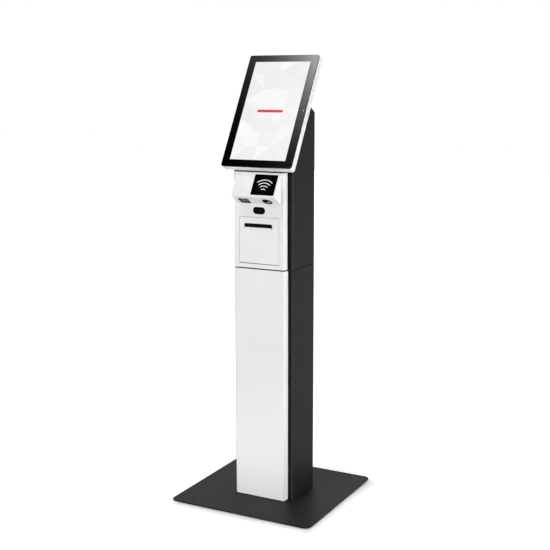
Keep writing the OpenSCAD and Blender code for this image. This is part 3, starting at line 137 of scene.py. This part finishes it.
# and more where the lamps fall off
LIFT_MORE = 0.6
LIFT_MORE_FROM = 0.8
LIFT_MORE_TO = 7
SHADOW_SHIFT = (0.018, -0.024)
SHADOW_INSET = 0.02
FLOOR_SIZE = 12
FLOOR_CELLS = 8

# Cells per metre of the broad drift of tone, of uneven gloss and of smears on glass
DRIFT_SCALE = 9
GLOSS_SCALE = 60
SMEAR_SCALE = 14
# Half the width of the line between the button's dark half and its half of painted light
PAINTED_LIGHT_BLUR = 0.3 * MM
# How far a face turns between front and side, from the start of a fold's painted highlight to its middle
FOLD_FROM_TO = (0.15, 0.5)


# Node helpers

def math_node(nt, kind, a, b=None):
    """A Math node on sockets or numbers."""
    node = nt.nodes.new("ShaderNodeMath")
    node.operation = kind
    for socket, value in zip(node.inputs, (a, b)):
        if isinstance(value, (int, float)):
            socket.default_value = value
        elif value is not None:
            nt.links.new(value, socket)
    return node.outputs[0]


def rays(nt, *kinds):
    """1 for rays of these kinds, 0 for others."""
    path = nt.nodes.new("ShaderNodeLightPath")
    total = path.outputs[f"Is {kinds[0]} Ray"]
    for kind in kinds[1:]:
        total = math_node(nt, "MAXIMUM", total, path.outputs[f"Is {kind} Ray"])
    return total


def material(name):
    """A new node material, with its tree and its Principled shader."""
    mat = bpy.data.materials.new(name)
    mat.use_nodes = True
    return mat, mat.node_tree, mat.node_tree.nodes["Principled BSDF"]


def coords(nt, stretch=(1, 1, 1)):
    """Object coordinates, which are metres in the part's frame, stretched where asked."""
    out = nt.nodes.new("ShaderNodeTexCoord").outputs["Object"]
    if stretch == (1, 1, 1):
        return out
    mapping = nt.nodes.new("ShaderNodeMapping")
    mapping.inputs["Scale"].default_value = stretch
    nt.links.new(out, mapping.inputs["Vector"])
    return mapping.outputs["Vector"]


def noise(nt, scale, detail=2.0, stretch=(1, 1, 1)):
    """A noise's value, in cells per metre."""
    node = nt.nodes.new("ShaderNodeTexNoise")
    node.inputs["Scale"].default_value = scale
    node.inputs["Detail"].default_value = detail
    nt.links.new(coords(nt, stretch), node.inputs["Vector"])
    return node.outputs[0]


def span(nt, value, low, high, start=0.3, end=0.7):
    """A value carried over to the range from low to high. Most of a noise lies between 0.3 and 0.7."""
    node = nt.nodes.new("ShaderNodeMapRange")
    for key, number in (("From Min", start), ("From Max", end), ("To Min", low), ("To Max", high)):
        node.inputs[key].default_value = number
    nt.links.new(value, node.inputs["Value"])
    return node.outputs["Result"]


def mixed(nt, share, first, second):
    """A colour between two. The first is a colour or a socket."""
    node = nt.nodes.new("ShaderNodeMix")
    node.data_type = "RGBA"
    factor, a, b, result = node.inputs[0], node.inputs[6], node.inputs[7], node.outputs[2]
    nt.links.new(share, factor)
    if isinstance(first, tuple):
        a.default_value = (*first, 1)
    else:
        nt.links.new(first, a)
    b.default_value = (*second, 1)
    return result


def tones(nt, value, dark, light):
    """A colour between two tones, by a texture's value."""
    return mixed(nt, span(nt, value, 0, 1), dark, light)


def bump(nt, height, depth):
    """A normal that follows a texture's height."""
    node = nt.nodes.new("ShaderNodeBump")
    node.inputs["Distance"].default_value = depth
    node.inputs["Strength"].default_value = 1.0
    nt.links.new(height, node.inputs["Height"])
    return node.outputs["Normal"]


def smear(nt, bsdf, low, high):
    """Gloss that wanders between two roughnesses, as on wiped glass."""
    nt.links.new(span(nt, noise(nt, SMEAR_SCALE, 6), low, high), bsdf.inputs["Roughness"])


def fix(node, values):
    """Sets values that are the same all over on a node's own sockets."""
    for key, value in values.items():
        node.inputs[key.replace("_", " ")].default_value = value


def grained(name, dark, light, rough, grain, depth, stretch=(1, 1, 1), **fixed):
    """A surface with a broad drift of tone, uneven gloss and a fine grain. Fixed values go on the shader."""
    mat, nt, bsdf = material(name)
    nt.links.new(tones(nt, noise(nt, DRIFT_SCALE, 4, stretch), dark, light), bsdf.inputs["Base Color"])
    nt.links.new(span(nt, noise(nt, GLOSS_SCALE, 5, stretch), *rough), bsdf.inputs["Roughness"])
    nt.links.new(bump(nt, noise(nt, grain, 3, stretch), depth), bsdf.inputs["Normal"])
    fix(bsdf, fixed)
    return mat


def painted_fold_highlight(mat, pale):
    """Paints a highlight on a coat: a paler colour on a sheet's upright folds, where the face turns between front and
    side.
    """
    nt = mat.node_tree
    colour = nt.nodes["Principled BSDF"].inputs["Base Color"]
    flat = colour.links[0].from_socket
    facing = nt.nodes.new("ShaderNodeSeparateXYZ")
    nt.links.new(nt.nodes.new("ShaderNodeTexCoord").outputs["Normal"], facing.inputs[0])
    turn = math_node(nt, "MINIMUM", *(math_node(nt, "ABSOLUTE", facing.outputs[axis]) for axis in "XY"))
    nt.links.new(mixed(nt, span(nt, turn, 0, 1, *FOLD_FROM_TO), flat, pale), colour)
    return mat


def grey(v, tint=0.0):
    """A grey, a little cooler where tint is given."""
    return (v * (1 - tint), v, v * (1 + tint))


# Materials

def board_material():
    """Green solder resist with fine, paler tracks."""
    mat, nt, bsdf = material("circuit_board_look")
    bricks = nt.nodes.new("ShaderNodeTexBrick")
    fix(bricks, {
        "Scale": 160, "Mortar Size": 0.03,
        "Color1": (0.012, 0.075, 0.03, 1), "Color2": (0.016, 0.095, 0.038, 1), "Mortar": (0.05, 0.19, 0.08, 1),
    })
    nt.links.new(coords(nt, (1, 1, 1.2)), bricks.inputs["Vector"])
    nt.links.new(bricks.outputs["Color"], bsdf.inputs["Base Color"])
    nt.links.new(span(nt, noise(nt, 300), 0.25, 0.4), bsdf.inputs["Roughness"])
    nt.links.new(bump(nt, bricks.outputs["Fac"], 0.00005), bsdf.inputs["Normal"])
    return mat


def paper_material():
    """Thermal paper: faint fibres, and on the roll's ends the fine rings of its turns."""
    mat, nt, bsdf = material("paper_look")
    roll_lo, roll_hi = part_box("paper_roll")
    mapping = nt.nodes.new("ShaderNodeMapping")
    mapping.inputs["Location"].default_value = [-(a + b) / 2 for a, b in zip(roll_lo, roll_hi)]
    nt.links.new(coords(nt), mapping.inputs["Vector"])
    rings = nt.nodes.new("ShaderNodeTexWave")
    rings.wave_type = "RINGS"
    rings.rings_direction = "X"
    fix(rings, {"Scale": 420, "Distortion": 0.6})
    nt.links.new(mapping.outputs["Vector"], rings.inputs["Vector"])
    nt.links.new(tones(nt, rings.outputs["Fac"], grey(0.74), grey(0.84)), bsdf.inputs["Base Color"])
    nt.links.new(span(nt, noise(nt, 500), 0.55, 0.75), bsdf.inputs["Roughness"])
    nt.links.new(bump(nt, noise(nt, 2500, 4), 0.00002), bsdf.inputs["Normal"])
    return mat


def glass_material(name, colour, rough, **fixed):
    """Smooth glass over a colour, with a trace of smear in its gloss."""
    mat, nt, bsdf = material(name)
    bsdf.inputs["Base Color"].default_value = (*colour, 1)
    smear(nt, bsdf, *rough)
    fix(bsdf, fixed)
    return mat


def button_material():
    """Gloss black dome with painted light: its half to the right and back is paler and glossier."""
    mat, nt, bsdf = material("button_look")
    lo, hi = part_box("button_cap")
    middle = Vector([(a + b) / 2 for a, b in zip(lo, hi)])
    # across and back along the underside of the wedge
    way = (Vector((1, 0, 0)) + Vector((0, math.cos(TILT), -math.sin(TILT)))).normalized()
    side = nt.nodes.new("ShaderNodeVectorMath")
    side.operation = "DOT_PRODUCT"
    nt.links.new(coords(nt), side.inputs[0])
    side.inputs[1].default_value = way
    edge = middle.dot(way)
    half = span(nt, side.outputs["Value"], 0, 1, edge - PAINTED_LIGHT_BLUR, edge + PAINTED_LIGHT_BLUR)
    # painted light: the half to the right and back is paler, the other half stays dark
    nt.links.new(tones(nt, half, grey(0.002), grey(0.22)), bsdf.inputs["Base Color"])
    nt.links.new(span(nt, half, 0.02, 0.5, 0, 1), bsdf.inputs["Specular IOR Level"])
    smear(nt, bsdf, 0.05, 0.1)
    return mat


def screen_material():
    """Lit screen behind the same glass: each facet has its own tone, stored in the mesh."""
    mat, nt, bsdf = material("screen_look")
    tone = nt.nodes.new("ShaderNodeVertexColor")
    tone.layer_name = "facet"
    bsdf.inputs["Base Color"].default_value = (*grey(0.02), 1)
    nt.links.new(tone.outputs["Color"], bsdf.inputs["Emission Color"])
    bsdf.inputs["Emission Strength"].default_value = 0.97
    bsdf.inputs["Specular IOR Level"].default_value = 0.0
    smear(nt, bsdf, 0.04, 0.08)
    return mat


def print_material(name, colour, glow=0.0):
    """Screen-printed ink, or a lit graphic where it glows."""
    mat, nt, bsdf = material(name)
    light = tuple(min(1, c * 1.05) for c in colour)
    nt.links.new(tones(nt, noise(nt, 400, 3), colour, light), bsdf.inputs["Base Color"])
    nt.links.new(span(nt, noise(nt, 900), 0.3, 0.45), bsdf.inputs["Roughness"])
    bsdf.inputs["Emission Color"].default_value = (*colour, 1)
    bsdf.inputs["Emission Strength"].default_value = glow
    return mat


LOOKS = {
    "white_coat": grained("white_coat_look", grey(0.85), grey(0.86), (0.4, 0.44), 900, 0.00002,
                          Specular_IOR_Level=0.35),
    "white_plastic": grained("white_plastic_look", grey(0.86), grey(0.88), (0.34, 0.4), 2600, 0.000012,
                             Specular_IOR_Level=0.25),
    # The black coat gets a painted highlight on its upright folds
    "black_coat": painted_fold_highlight(grained("black_coat_look", grey(0.0155, 0.02), grey(0.0165, 0.02), (0.44, 0.48), 1500,
                                      0.00004, Specular_IOR_Level=0.034), grey(0.041)),
    "cover_glass": glass_material("cover_glass_look", grey(0.0005), (0.03, 0.06), IOR=1.45),
    "black_gloss": glass_material("black_gloss_look", grey(0.001), (0.1, 0.16), IOR=1.45, Specular_IOR_Level=0.05),
    "smoked_glass": glass_material("smoked_glass_look", grey(0.06), (0.03, 0.07), IOR=1.5, Specular_IOR_Level=0.3,
                                   Transmission_Weight=0.2),
    "black_plastic": grained("black_plastic_look", grey(0.02), grey(0.03), (0.42, 0.58), 2200, 0.00003),
    "grey_plastic": grained("grey_plastic_look", (0.40, 0.40, 0.385), (0.46, 0.46, 0.44), (0.35, 0.5), 1800, 0.00002),
    "rubber": grained("rubber_look", grey(0.016), grey(0.026), (0.6, 0.8), 1400, 0.00006),
    "steel": grained("steel_look", grey(0.46, 0.02), grey(0.58, 0.02), (0.26, 0.4), 1300, 0.000015,
                     (0.25, 1, 1), Metallic=1.0),
    "aluminium": grained("aluminium_look", grey(0.6), grey(0.7), (0.32, 0.46), 1700, 0.00002, (1, 1, 0.08),
                         Metallic=1.0),
    "circuit_board": board_material(),
    "paper": paper_material(),
    "cardboard": grained("cardboard_look", (0.30, 0.20, 0.12), (0.42, 0.29, 0.18), (0.75, 0.9), 700, 0.00008),
}
SCREEN_LOOK = screen_material()
WHITE_INK = print_material("white_ink_look", grey(0.9))
RED_GRAPHIC = print_material("red_graphic_look", (0.56, 0.012, 0.02), glow=0.15)
DOT_LIGHT = print_material("dot_light_look", grey(0.9), glow=0.6)
# Looks of single solids that differ from the rest of their slot
DARK_BEZEL = grained("dark_bezel_look", grey(0.004), grey(0.006), (0.6, 0.7), 2600, 0.00002, Specular_IOR_Level=0.03)
NODE_LOOKS = {
    "base_plate": grained("base_coat_look", grey(0.0122, 0.02), grey(0.0128, 0.02), (0.47, 0.5), 1500, 0.00004,
                          Specular_IOR_Level=0.13),
    "sensor_window": glass_material("smoked_window_look", grey(0.001), (0.12, 0.2), IOR=1.45, Specular_IOR_Level=0.02,
                                    Transmission_Weight=0.05),
    "printer_frame": grained("dark_steel_look", grey(0.045), grey(0.06), (0.4, 0.5), 1300, 0.00002, Metallic=1.0),
    "scanner_bezel": DARK_BEZEL,
    "button_bezel": DARK_BEZEL,
    "button_cap": button_material(),
}


# Mesh helpers

def face_frame(origin, up, out):
    """A frame whose x goes across, y goes up a face and z points out of it."""
    across = Vector(up).cross(Vector(out))
    turn = Matrix((across, Vector(up), Vector(out))).transposed().to_4x4()
    return Matrix.Translation(origin) @ turn


def tilted_frame(node, thickness):
    """The frame of a node's tilted front face, from the middle of the face's lower edge."""
    lo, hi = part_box(node)
    origin = ((lo[0] + hi[0]) / 2, lo[1], lo[2] + thickness * math.sin(TILT))
    return face_frame(origin, (0, math.sin(TILT), math.cos(TILT)), (0, -math.cos(TILT), math.sin(TILT)))


def rounded_outline(w, h, r, steps=10):
    """Points round a rectangle with round corners, counter-clockwise, its middle at the origin."""
    points = []
    for i, (sx, sy) in enumerate(((1, 1), (-1, 1), (-1, -1), (1, -1))):
        for k in range(steps + 1):
            a = math.pi / 2 * (i + k / steps)
            points.append((sx * (w / 2 - r) + r * math.cos(a), sy * (h / 2 - r) + r * math.sin(a)))
    return points


def piece(name, bm, place, look, body, smooth=False):
    """Finishes a mesh as a piece that rides on a body."""
    bmesh.ops.recalc_face_normals(bm, faces=bm.faces)
    bm.transform(place)
    mesh = bpy.data.meshes.new(name)
    bm.to_mesh(mesh)
    bm.free()
    for mat in look if isinstance(look, list) else [look]:
        mesh.materials.append(mat)
    for poly in mesh.polygons:
        poly.use_smooth = smooth
    obj = bpy.data.objects.new(name, mesh)
    bpy.context.scene.collection.objects.link(obj)
    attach(obj, body)
    return obj


def bridge(bm, first, second):
    """A band of faces between two closed loops with as many points."""
    n = len(first)
    for i in range(n):
        bm.faces.new((first[i], first[(i + 1) % n], second[(i + 1) % n], second[i]))


def add_plate(bm, outline, height, edge):
    """A thin plate on z = 0 with a chamfered upper edge."""
    low = [bm.verts.new((x, y, 0)) for x, y in outline]
    mid = [bm.verts.new((x, y, height - edge)) for x, y in outline]
    top = []
    n = len(outline)
    for i, p in enumerate(outline):
        before, after = Vector(outline[i - 1]), Vector(outline[(i + 1) % n])
        inward = (after - before).normalized().orthogonal() * edge
        top.append(bm.verts.new((p[0] + inward.x, p[1] + inward.y, height)))
    for a, b in ((low, mid), (mid, top)):
        bridge(bm, a, b)
    bm.faces.new(top)
    bm.faces.new(low[::-1])


def add_ring(bm, outer, inner, height):
    """A thin flat ring on z = 0 between two outlines with as many points."""
    loops = [[bm.verts.new((x, y, z)) for x, y in line] for line, z in
             ((outer, 0), (outer, height), (inner, height), (inner, 0))]
    for a, b in zip(loops, loops[1:] + loops[:1]):
        bridge(bm, a, b)


def disc_outline(d, steps=32):
    """Points round a circle, its middle at the origin."""
    turns = [2 * math.pi * i / steps for i in range(steps)]
    return [(d / 2 * math.cos(a), d / 2 * math.sin(a)) for a in turns]


def arc_outline(r, stroke, half_angle, at, steps=24, cap_steps=8):
    """Outline of an arc-shaped stroke with round ends, open downwards."""
    def on(radius, a):
        return (at[0] + radius * math.sin(a), at[1] + radius * math.cos(a))
    outer = [on(r + stroke / 2, half_angle * (1 - 2 * i / steps)) for i in range(steps + 1)]
    inner = [on(r - stroke / 2, half_angle * (2 * i / steps - 1)) for i in range(steps + 1)]
    ends = []
    for sign in (-1, 1):
        c = on(r, sign * half_angle)
        a0 = math.pi / 2 - sign * half_angle
        turn = [a0 - sign * math.pi * k / cap_steps for k in range(1, cap_steps)]
        cap = [(c[0] + stroke / 2 * math.cos(a), c[1] + stroke / 2 * math.sin(a)) for a in turn]
        ends.append(cap if sign < 0 else cap[::-1])
    return outer + ends[0] + inner + ends[1]


# Pieces that the scene adds

def cover_glass():
    """Edge-to-edge glass: black printed border, rounded edges and the lit screen with its pale facets."""
    lo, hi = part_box("touch_glass")
    w = hi[0] - lo[0]
    h = (hi[2] - lo[2] - GLASS_T * math.sin(TILT)) / math.cos(TILT)
    place = tilted_frame("touch_glass", GLASS_T)
    bm = bmesh.new()
    loops = []
    for inset, depth in GLASS_EDGE:
        d = inset * MM
        loops.append([
            bm.verts.new((x, y + h / 2, -depth * MM))
            for x, y in rounded_outline(w - 2 * d, h - 2 * d, GLASS_CORNER_R - d)
        ])
    for a, b in zip(loops, loops[1:]):
        bridge(bm, a, b)
    bm.faces.new(loops[-1])

    rng = random.Random(FACET_SEED)
    grid = []
    for j in range(FACET_ROWS + 1):
        row = []
        for i in range(FACET_COLUMNS + 1):
            jx = rng.uniform(-FACET_JITTER, FACET_JITTER) if 0 < i < FACET_COLUMNS else 0
            jy = rng.uniform(-FACET_JITTER, FACET_JITTER) if 0 < j < FACET_ROWS else 0
            x = ((i + jx) / FACET_COLUMNS - 0.5) * SCREEN_W
            y = h / 2 + ((j + jy) / FACET_ROWS - 0.5) * SCREEN_H
            row.append(bm.verts.new((x, y, 0)))
        grid.append(row)
    facets = []
    for j in range(FACET_ROWS):
        for i in range(FACET_COLUMNS):
            a, b, c, d = grid[j][i], grid[j][i + 1], grid[j + 1][i + 1], grid[j + 1][i]
            pair = ((a, b, c), (a, c, d)) if rng.random() < 0.5 else ((a, b, d), (b, c, d))
            facets += [bm.faces.new(t) for t in pair]
    for f in facets:
        f.material_index = 1
    rim = [e for e in bm.edges if e.is_boundary]
    bmesh.ops.triangle_fill(bm, use_beauty=True, edges=rim)
    tone = bm.loops.layers.float_color.new("facet")
    for f in facets:
        t = rng.uniform(*FACET_TONES)
        for corner in f.loops:
            corner[tone] = (t, t, min(1, t * FACET_BLUE), 1)
    obj = piece("cover_glass", bm, place, [LOOKS["cover_glass"], SCREEN_LOOK], "root")
    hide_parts("touch_glass")

    bar = bmesh.new()
    add_plate(bar, rounded_outline(BAR_W, BAR_H, BAR_R), *BAR_INK)
    bar_place = place @ Matrix.Translation((0, h / 2 - BAR_DROP, 0))
    piece("screen_bar", bar, bar_place, RED_GRAPHIC, "root")

    dot = bmesh.new()
    add_plate(dot, disc_outline(DOT_D), *DOT_INK)
    piece("status_dot", dot, place @ Matrix.Translation((DOT_X, h / 2, 0)), DOT_LIGHT, "root")


def contactless_sign():
    """Fan of four strokes printed on the contactless window."""
    bm = bmesh.new()
    for r in SIGN_RADII:
        add_plate(bm, arc_outline(r * MM, SIGN_STROKE, SIGN_HALF_ANGLE, (0, SIGN_UP)), *SIGN_INK)
    piece("contactless_sign", bm, tilted_frame("nfc_window", NFC_T), WHITE_INK, "root")


def scanner_border():
    """Black border printed round the scanner's glass."""
    mesh = frame["nodes"]["scanner_glass"].data
    out = Vector((0, -math.sin(TILT), -math.cos(TILT)))
    faces = [f for f in mesh.polygons if f.normal.dot(out) > 0.99]
    area = sum(f.area for f in faces)
    middle = sum((f.center * f.area for f in faces), Vector()) / area
    lo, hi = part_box("scanner_glass")
    w = hi[0] - lo[0]
    h = area / w
    bm = bmesh.new()
    outer = rounded_outline(w - BORDER_OUTER[0], h - BORDER_OUTER[1], BORDER_OUTER_R)
    inner = rounded_outline(w - BORDER_INNER[0], h - BORDER_INNER[1], BORDER_INNER_R)
    add_ring(bm, outer, inner, BORDER_INK)
    place = face_frame(middle, out.cross(Vector((1, 0, 0))), out)
    piece("scanner_border", bm, place, DARK_BEZEL, "root")


def switch_marks():
    """Bar and ring moulded on the two halves of the mains rocker."""
    joint = next(j for j in frame["record"]["behaviour"]["joints"] if j["name"] == "rocker_tilt")
    pivot = Vector(joint["pos_m"])
    bar = bmesh.new()
    add_plate(bar, rounded_outline(*MARK_BAR), *MARK_INK)
    place = face_frame(pivot + Vector(MARK_BAR_AT) * MM, (0, 0, 1), (0, 1, 0))
    piece("switch_bar", bar, place, WHITE_INK, "rocker")
    ring = bmesh.new()
    add_ring(ring, *(disc_outline(d) for d in MARK_RING_D), MARK_INK[0])
    ring_up = (0, -MARK_RING_OUT[2], MARK_RING_OUT[1])
    place = face_frame(pivot + Vector(MARK_RING_AT) * MM, ring_up, MARK_RING_OUT)
    piece("switch_ring", ring, place, WHITE_INK, "rocker")


def paper_web():
    """Paper from the roll up over the platen to the tear bar."""
    roll_lo, roll_hi = (Vector(p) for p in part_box("paper_roll"))
    platen_lo, platen_hi = (Vector(p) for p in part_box("platen_roller"))
    roll, platen = ((roll_lo + roll_hi) / 2).yz, ((platen_lo + platen_hi) / 2).yz
    roll_r = (roll_hi.z - roll_lo.z) / 2 + PAPER_OFF_ROLL
    platen_r = (platen_hi.z - platen_lo.z) / 2 + PAPER_OFF_PLATEN
    # line that touches both circles, by the way that it faces
    along = (roll - platen).normalized()
    sine = (platen_r - roll_r) / (roll - platen).length
    normal = along * sine + Vector((-along.y, along.x)) * math.sqrt(1 - sine * sine)
    lift = math.atan2(normal.y, normal.x)
    path = [roll + normal * roll_r, platen + normal * platen_r]
    for k in range(1, PLATEN_STEPS + 1):
        a = lift + (math.pi / 2 - lift) * k / PLATEN_STEPS
        path.append(platen + platen_r * Vector((math.cos(a), math.sin(a))))
    path.append(path[-1] - Vector((PAPER_END, 0)))
    bm = bmesh.new()
    half = (roll_hi.x - roll_lo.x) / 2
    rows = []
    for i, p in enumerate(path):
        q0, q1 = path[max(i - 1, 0)], path[min(i + 1, len(path) - 1)]
        flow = (q1 - q0).normalized()
        up = Vector((flow.y, -flow.x)) * PAPER_T
        rows.append([bm.verts.new((x, *(p + s * up))) for x, s in ((-half, 0), (half, 0), (half, 1), (-half, 1))])
    for a, b in zip(rows, rows[1:]):
        bridge(bm, a, b)
    bm.faces.new(rows[0][::-1])
    bm.faces.new(rows[-1])
    piece("paper_web", bm, Matrix(), LOOKS["paper"], "root")


contactless_sign()
cover_glass()
scanner_border()
switch_marks()
paper_web()


# Finishes and softened edges of the solids, whose radii are in mm

SLOT_OF = {s["node"]: s["material_slot"] for s in frame["record"]["subparts"]}
EDGE_RADIUS = {
    "base_plate": 0.8, "lower_column": 0.5, "upper_body": 0.6, "lower_front_panel": 0.6, "upper_fascia": 0.6,
    "printer_door": 0.5, "paper_lip": 0.5, "reader_housing": 1.0, "head_frame": 0.8, "head_back_cover": 1.2,
    "rear_door": 0.6, "neck_plate": 0.4, "power_inlet": 0.4, "switch_body": 0.4, "power_supply": 0.6,
    "lock_barrel": 0.4, "scanner_bezel": 0.4, "button_bezel": 0.5, "feed_motor": 0.5,
}
SMALL_EDGE = 0.2
# Solids whose edges lie far enough apart to take the whole radius
FULL_EDGES = ("reader_housing", "head_frame")
WELD_REACH = 0.004 * MM
SHARP_FROM = math.radians(38)


def soften(obj, radius, full):
    """Joins the solid's split faces and rounds its sharp edges, short of an overlap unless full is set."""
    weld = obj.modifiers.new("weld", "WELD")
    weld.merge_threshold = WELD_REACH
    edge = obj.modifiers.new("edge", "BEVEL")
    edge.width = radius * MM
    edge.segments = 2
    edge.limit_method = "ANGLE"
    edge.angle_limit = SHARP_FROM
    edge.harden_normals = True
    edge.use_clamp_overlap = not full


for node, obj in frame["nodes"].items():
    for s in obj.material_slots:
        s.material = NODE_LOOKS.get(node, LOOKS[SLOT_OF[node]])
    soften(obj, EDGE_RADIUS.get(node, SMALL_EDGE), node in FULL_EDGES)


# Floor, light and camera

def floor():
    """Pale floor that stays white to the camera and keeps the object's soft shadow."""
    bm = bmesh.new()
    bmesh.ops.create_grid(bm, x_segments=FLOOR_CELLS, y_segments=FLOOR_CELLS, size=FLOOR_SIZE)
    mesh = bpy.data.meshes.new("floor")
    bm.to_mesh(mesh)
    bm.free()
    mat, nt, bsdf = material("floor_look")
    nt.links.new(tones(nt, noise(nt, 3), grey(0.78), grey(0.8)), bsdf.inputs["Base Color"])
    bsdf.inputs["Roughness"].default_value = 1.0
    bsdf.inputs["Specular IOR Level"].default_value = 0.0
    bsdf.inputs["Emission Color"].default_value = (1, 1, 1, 1)

    def vector_node(kind, a, b=None):
        node = nt.nodes.new("ShaderNodeVectorMath")
        node.operation = kind
        nt.links.new(a, node.inputs[0])
        if b is not None:
            node.inputs[1].default_value = b
        return node.outputs["Value" if kind == "LENGTH" else "Vector"]

    # distance from the base plate's outline, set in and shifted to where the contact shadow falls
    lo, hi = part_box("base_plate")
    middle = [(a + b) / 2 + shift for a, b, shift in zip(lo[:2], hi[:2], SHADOW_SHIFT)] + [0]
    half = [(b - a) / 2 - SHADOW_INSET for a, b in zip(lo[:2], hi[:2])] + [0]
    away = vector_node("ABSOLUTE", vector_node("SUBTRACT", coords(nt), middle))
    away = vector_node("LENGTH", vector_node("MAXIMUM", vector_node("SUBTRACT", away, half), (0, 0, 0)))
    lift = math_node(nt, "ADD", span(nt, away, LIFT_NEAR, LIFT_FAR, 0, LIFT_TO),
                     span(nt, away, 0, LIFT_MORE, LIFT_MORE_FROM, LIFT_MORE_TO))
    lift = math_node(nt, "MULTIPLY", lift, rays(nt, "Camera", "Glossy", "Transmission"))
    nt.links.new(lift, bsdf.inputs["Emission Strength"])
    mesh.materials.append(mat)
    obj = bpy.data.objects.new("floor", mesh)
    bpy.context.scene.collection.objects.link(obj)


def studio():
    """White to the camera and through glass; else an even room with a dark flag and a soft box for the gloss."""
    world = bpy.data.worlds.new("studio")
    bpy.context.scene.world = world
    world.use_nodes = True
    nt = world.node_tree
    back = nt.nodes["Background"]
    way = nt.nodes.new("ShaderNodeTexCoord").outputs["Generated"]

    def lobe(direction, sharpness, level):
        """A soft spot of the room: level at its middle, falling off all round."""
        dot = nt.nodes.new("ShaderNodeVectorMath")
        dot.operation = "DOT_PRODUCT"
        nt.links.new(way, dot.inputs[0])
        dot.inputs[1].default_value = Vector(direction).normalized()
        fall = math_node(nt, "MULTIPLY", math_node(nt, "SUBTRACT", dot.outputs["Value"], 1), sharpness)
        return math_node(nt, "MULTIPLY", math_node(nt, "EXPONENT", fall), level)

    flag = math_node(nt, "MINIMUM", lobe(FLAG_WAY, FLAG_SHARP, FLAG_SPREAD * AMBIENT), AMBIENT)
    box = math_node(nt, "MINIMUM", lobe(BOX_WAY, BOX_SHARP, BOX_LEVEL), BOX_CAP)
    room = math_node(nt, "ADD", math_node(nt, "SUBTRACT", AMBIENT, flag), box)
    backdrop = math_node(nt, "MULTIPLY", lobe(BACK_WAY, BACK_SHARP, BACK_LEVEL), rays(nt, "Glossy"))
    room = math_node(nt, "ADD", room, backdrop)
    strength = nt.nodes.new("ShaderNodeMix")
    factor, inside, seen = strength.inputs[0], strength.inputs[2], strength.inputs[3]
    nt.links.new(rays(nt, "Camera", "Transmission"), factor)
    nt.links.new(room, inside)
    seen.default_value = 1
    nt.links.new(strength.outputs[0], back.inputs["Strength"])
    back.inputs["Color"].default_value = (1, 1, 1, 1)


def soft_light(name, at, aim, size, power, spread):
    """A round area lamp that faces its aim."""
    data = bpy.data.lights.new(name, "AREA")
    data.shape = "DISK"
    data.size = size
    data.energy = power
    data.spread = math.radians(spread)
    obj = bpy.data.objects.new(name, data)
    obj.location = at
    obj.rotation_euler = (Vector(aim) - Vector(at)).to_track_quat("-Z", "Y").to_euler()
    bpy.context.scene.collection.objects.link(obj)


def camera():
    """The camera at the photograph's place, height and angle."""
    data = bpy.data.cameras.new("camera")
    data.sensor_fit = "HORIZONTAL"
    data.sensor_width = CAMERA_SENSOR
    data.lens = CAMERA_LENS
    obj = bpy.data.objects.new("camera", data)
    obj.location = CAMERA_AT
    turn = Matrix.Rotation(CAMERA_YAW, 3, "Z") @ Matrix.Rotation(math.pi / 2 - CAMERA_PITCH, 3, "X")
    obj.rotation_euler = (turn @ Matrix.Rotation(CAMERA_ROLL, 3, "Z")).to_euler()
    bpy.context.scene.collection.objects.link(obj)
    bpy.context.scene.camera = obj


floor()
studio()
for name, lamp in LAMPS.items():
    soft_light(name, *lamp)
camera()
bpy.context.scene.view_settings.view_transform = "Standard"
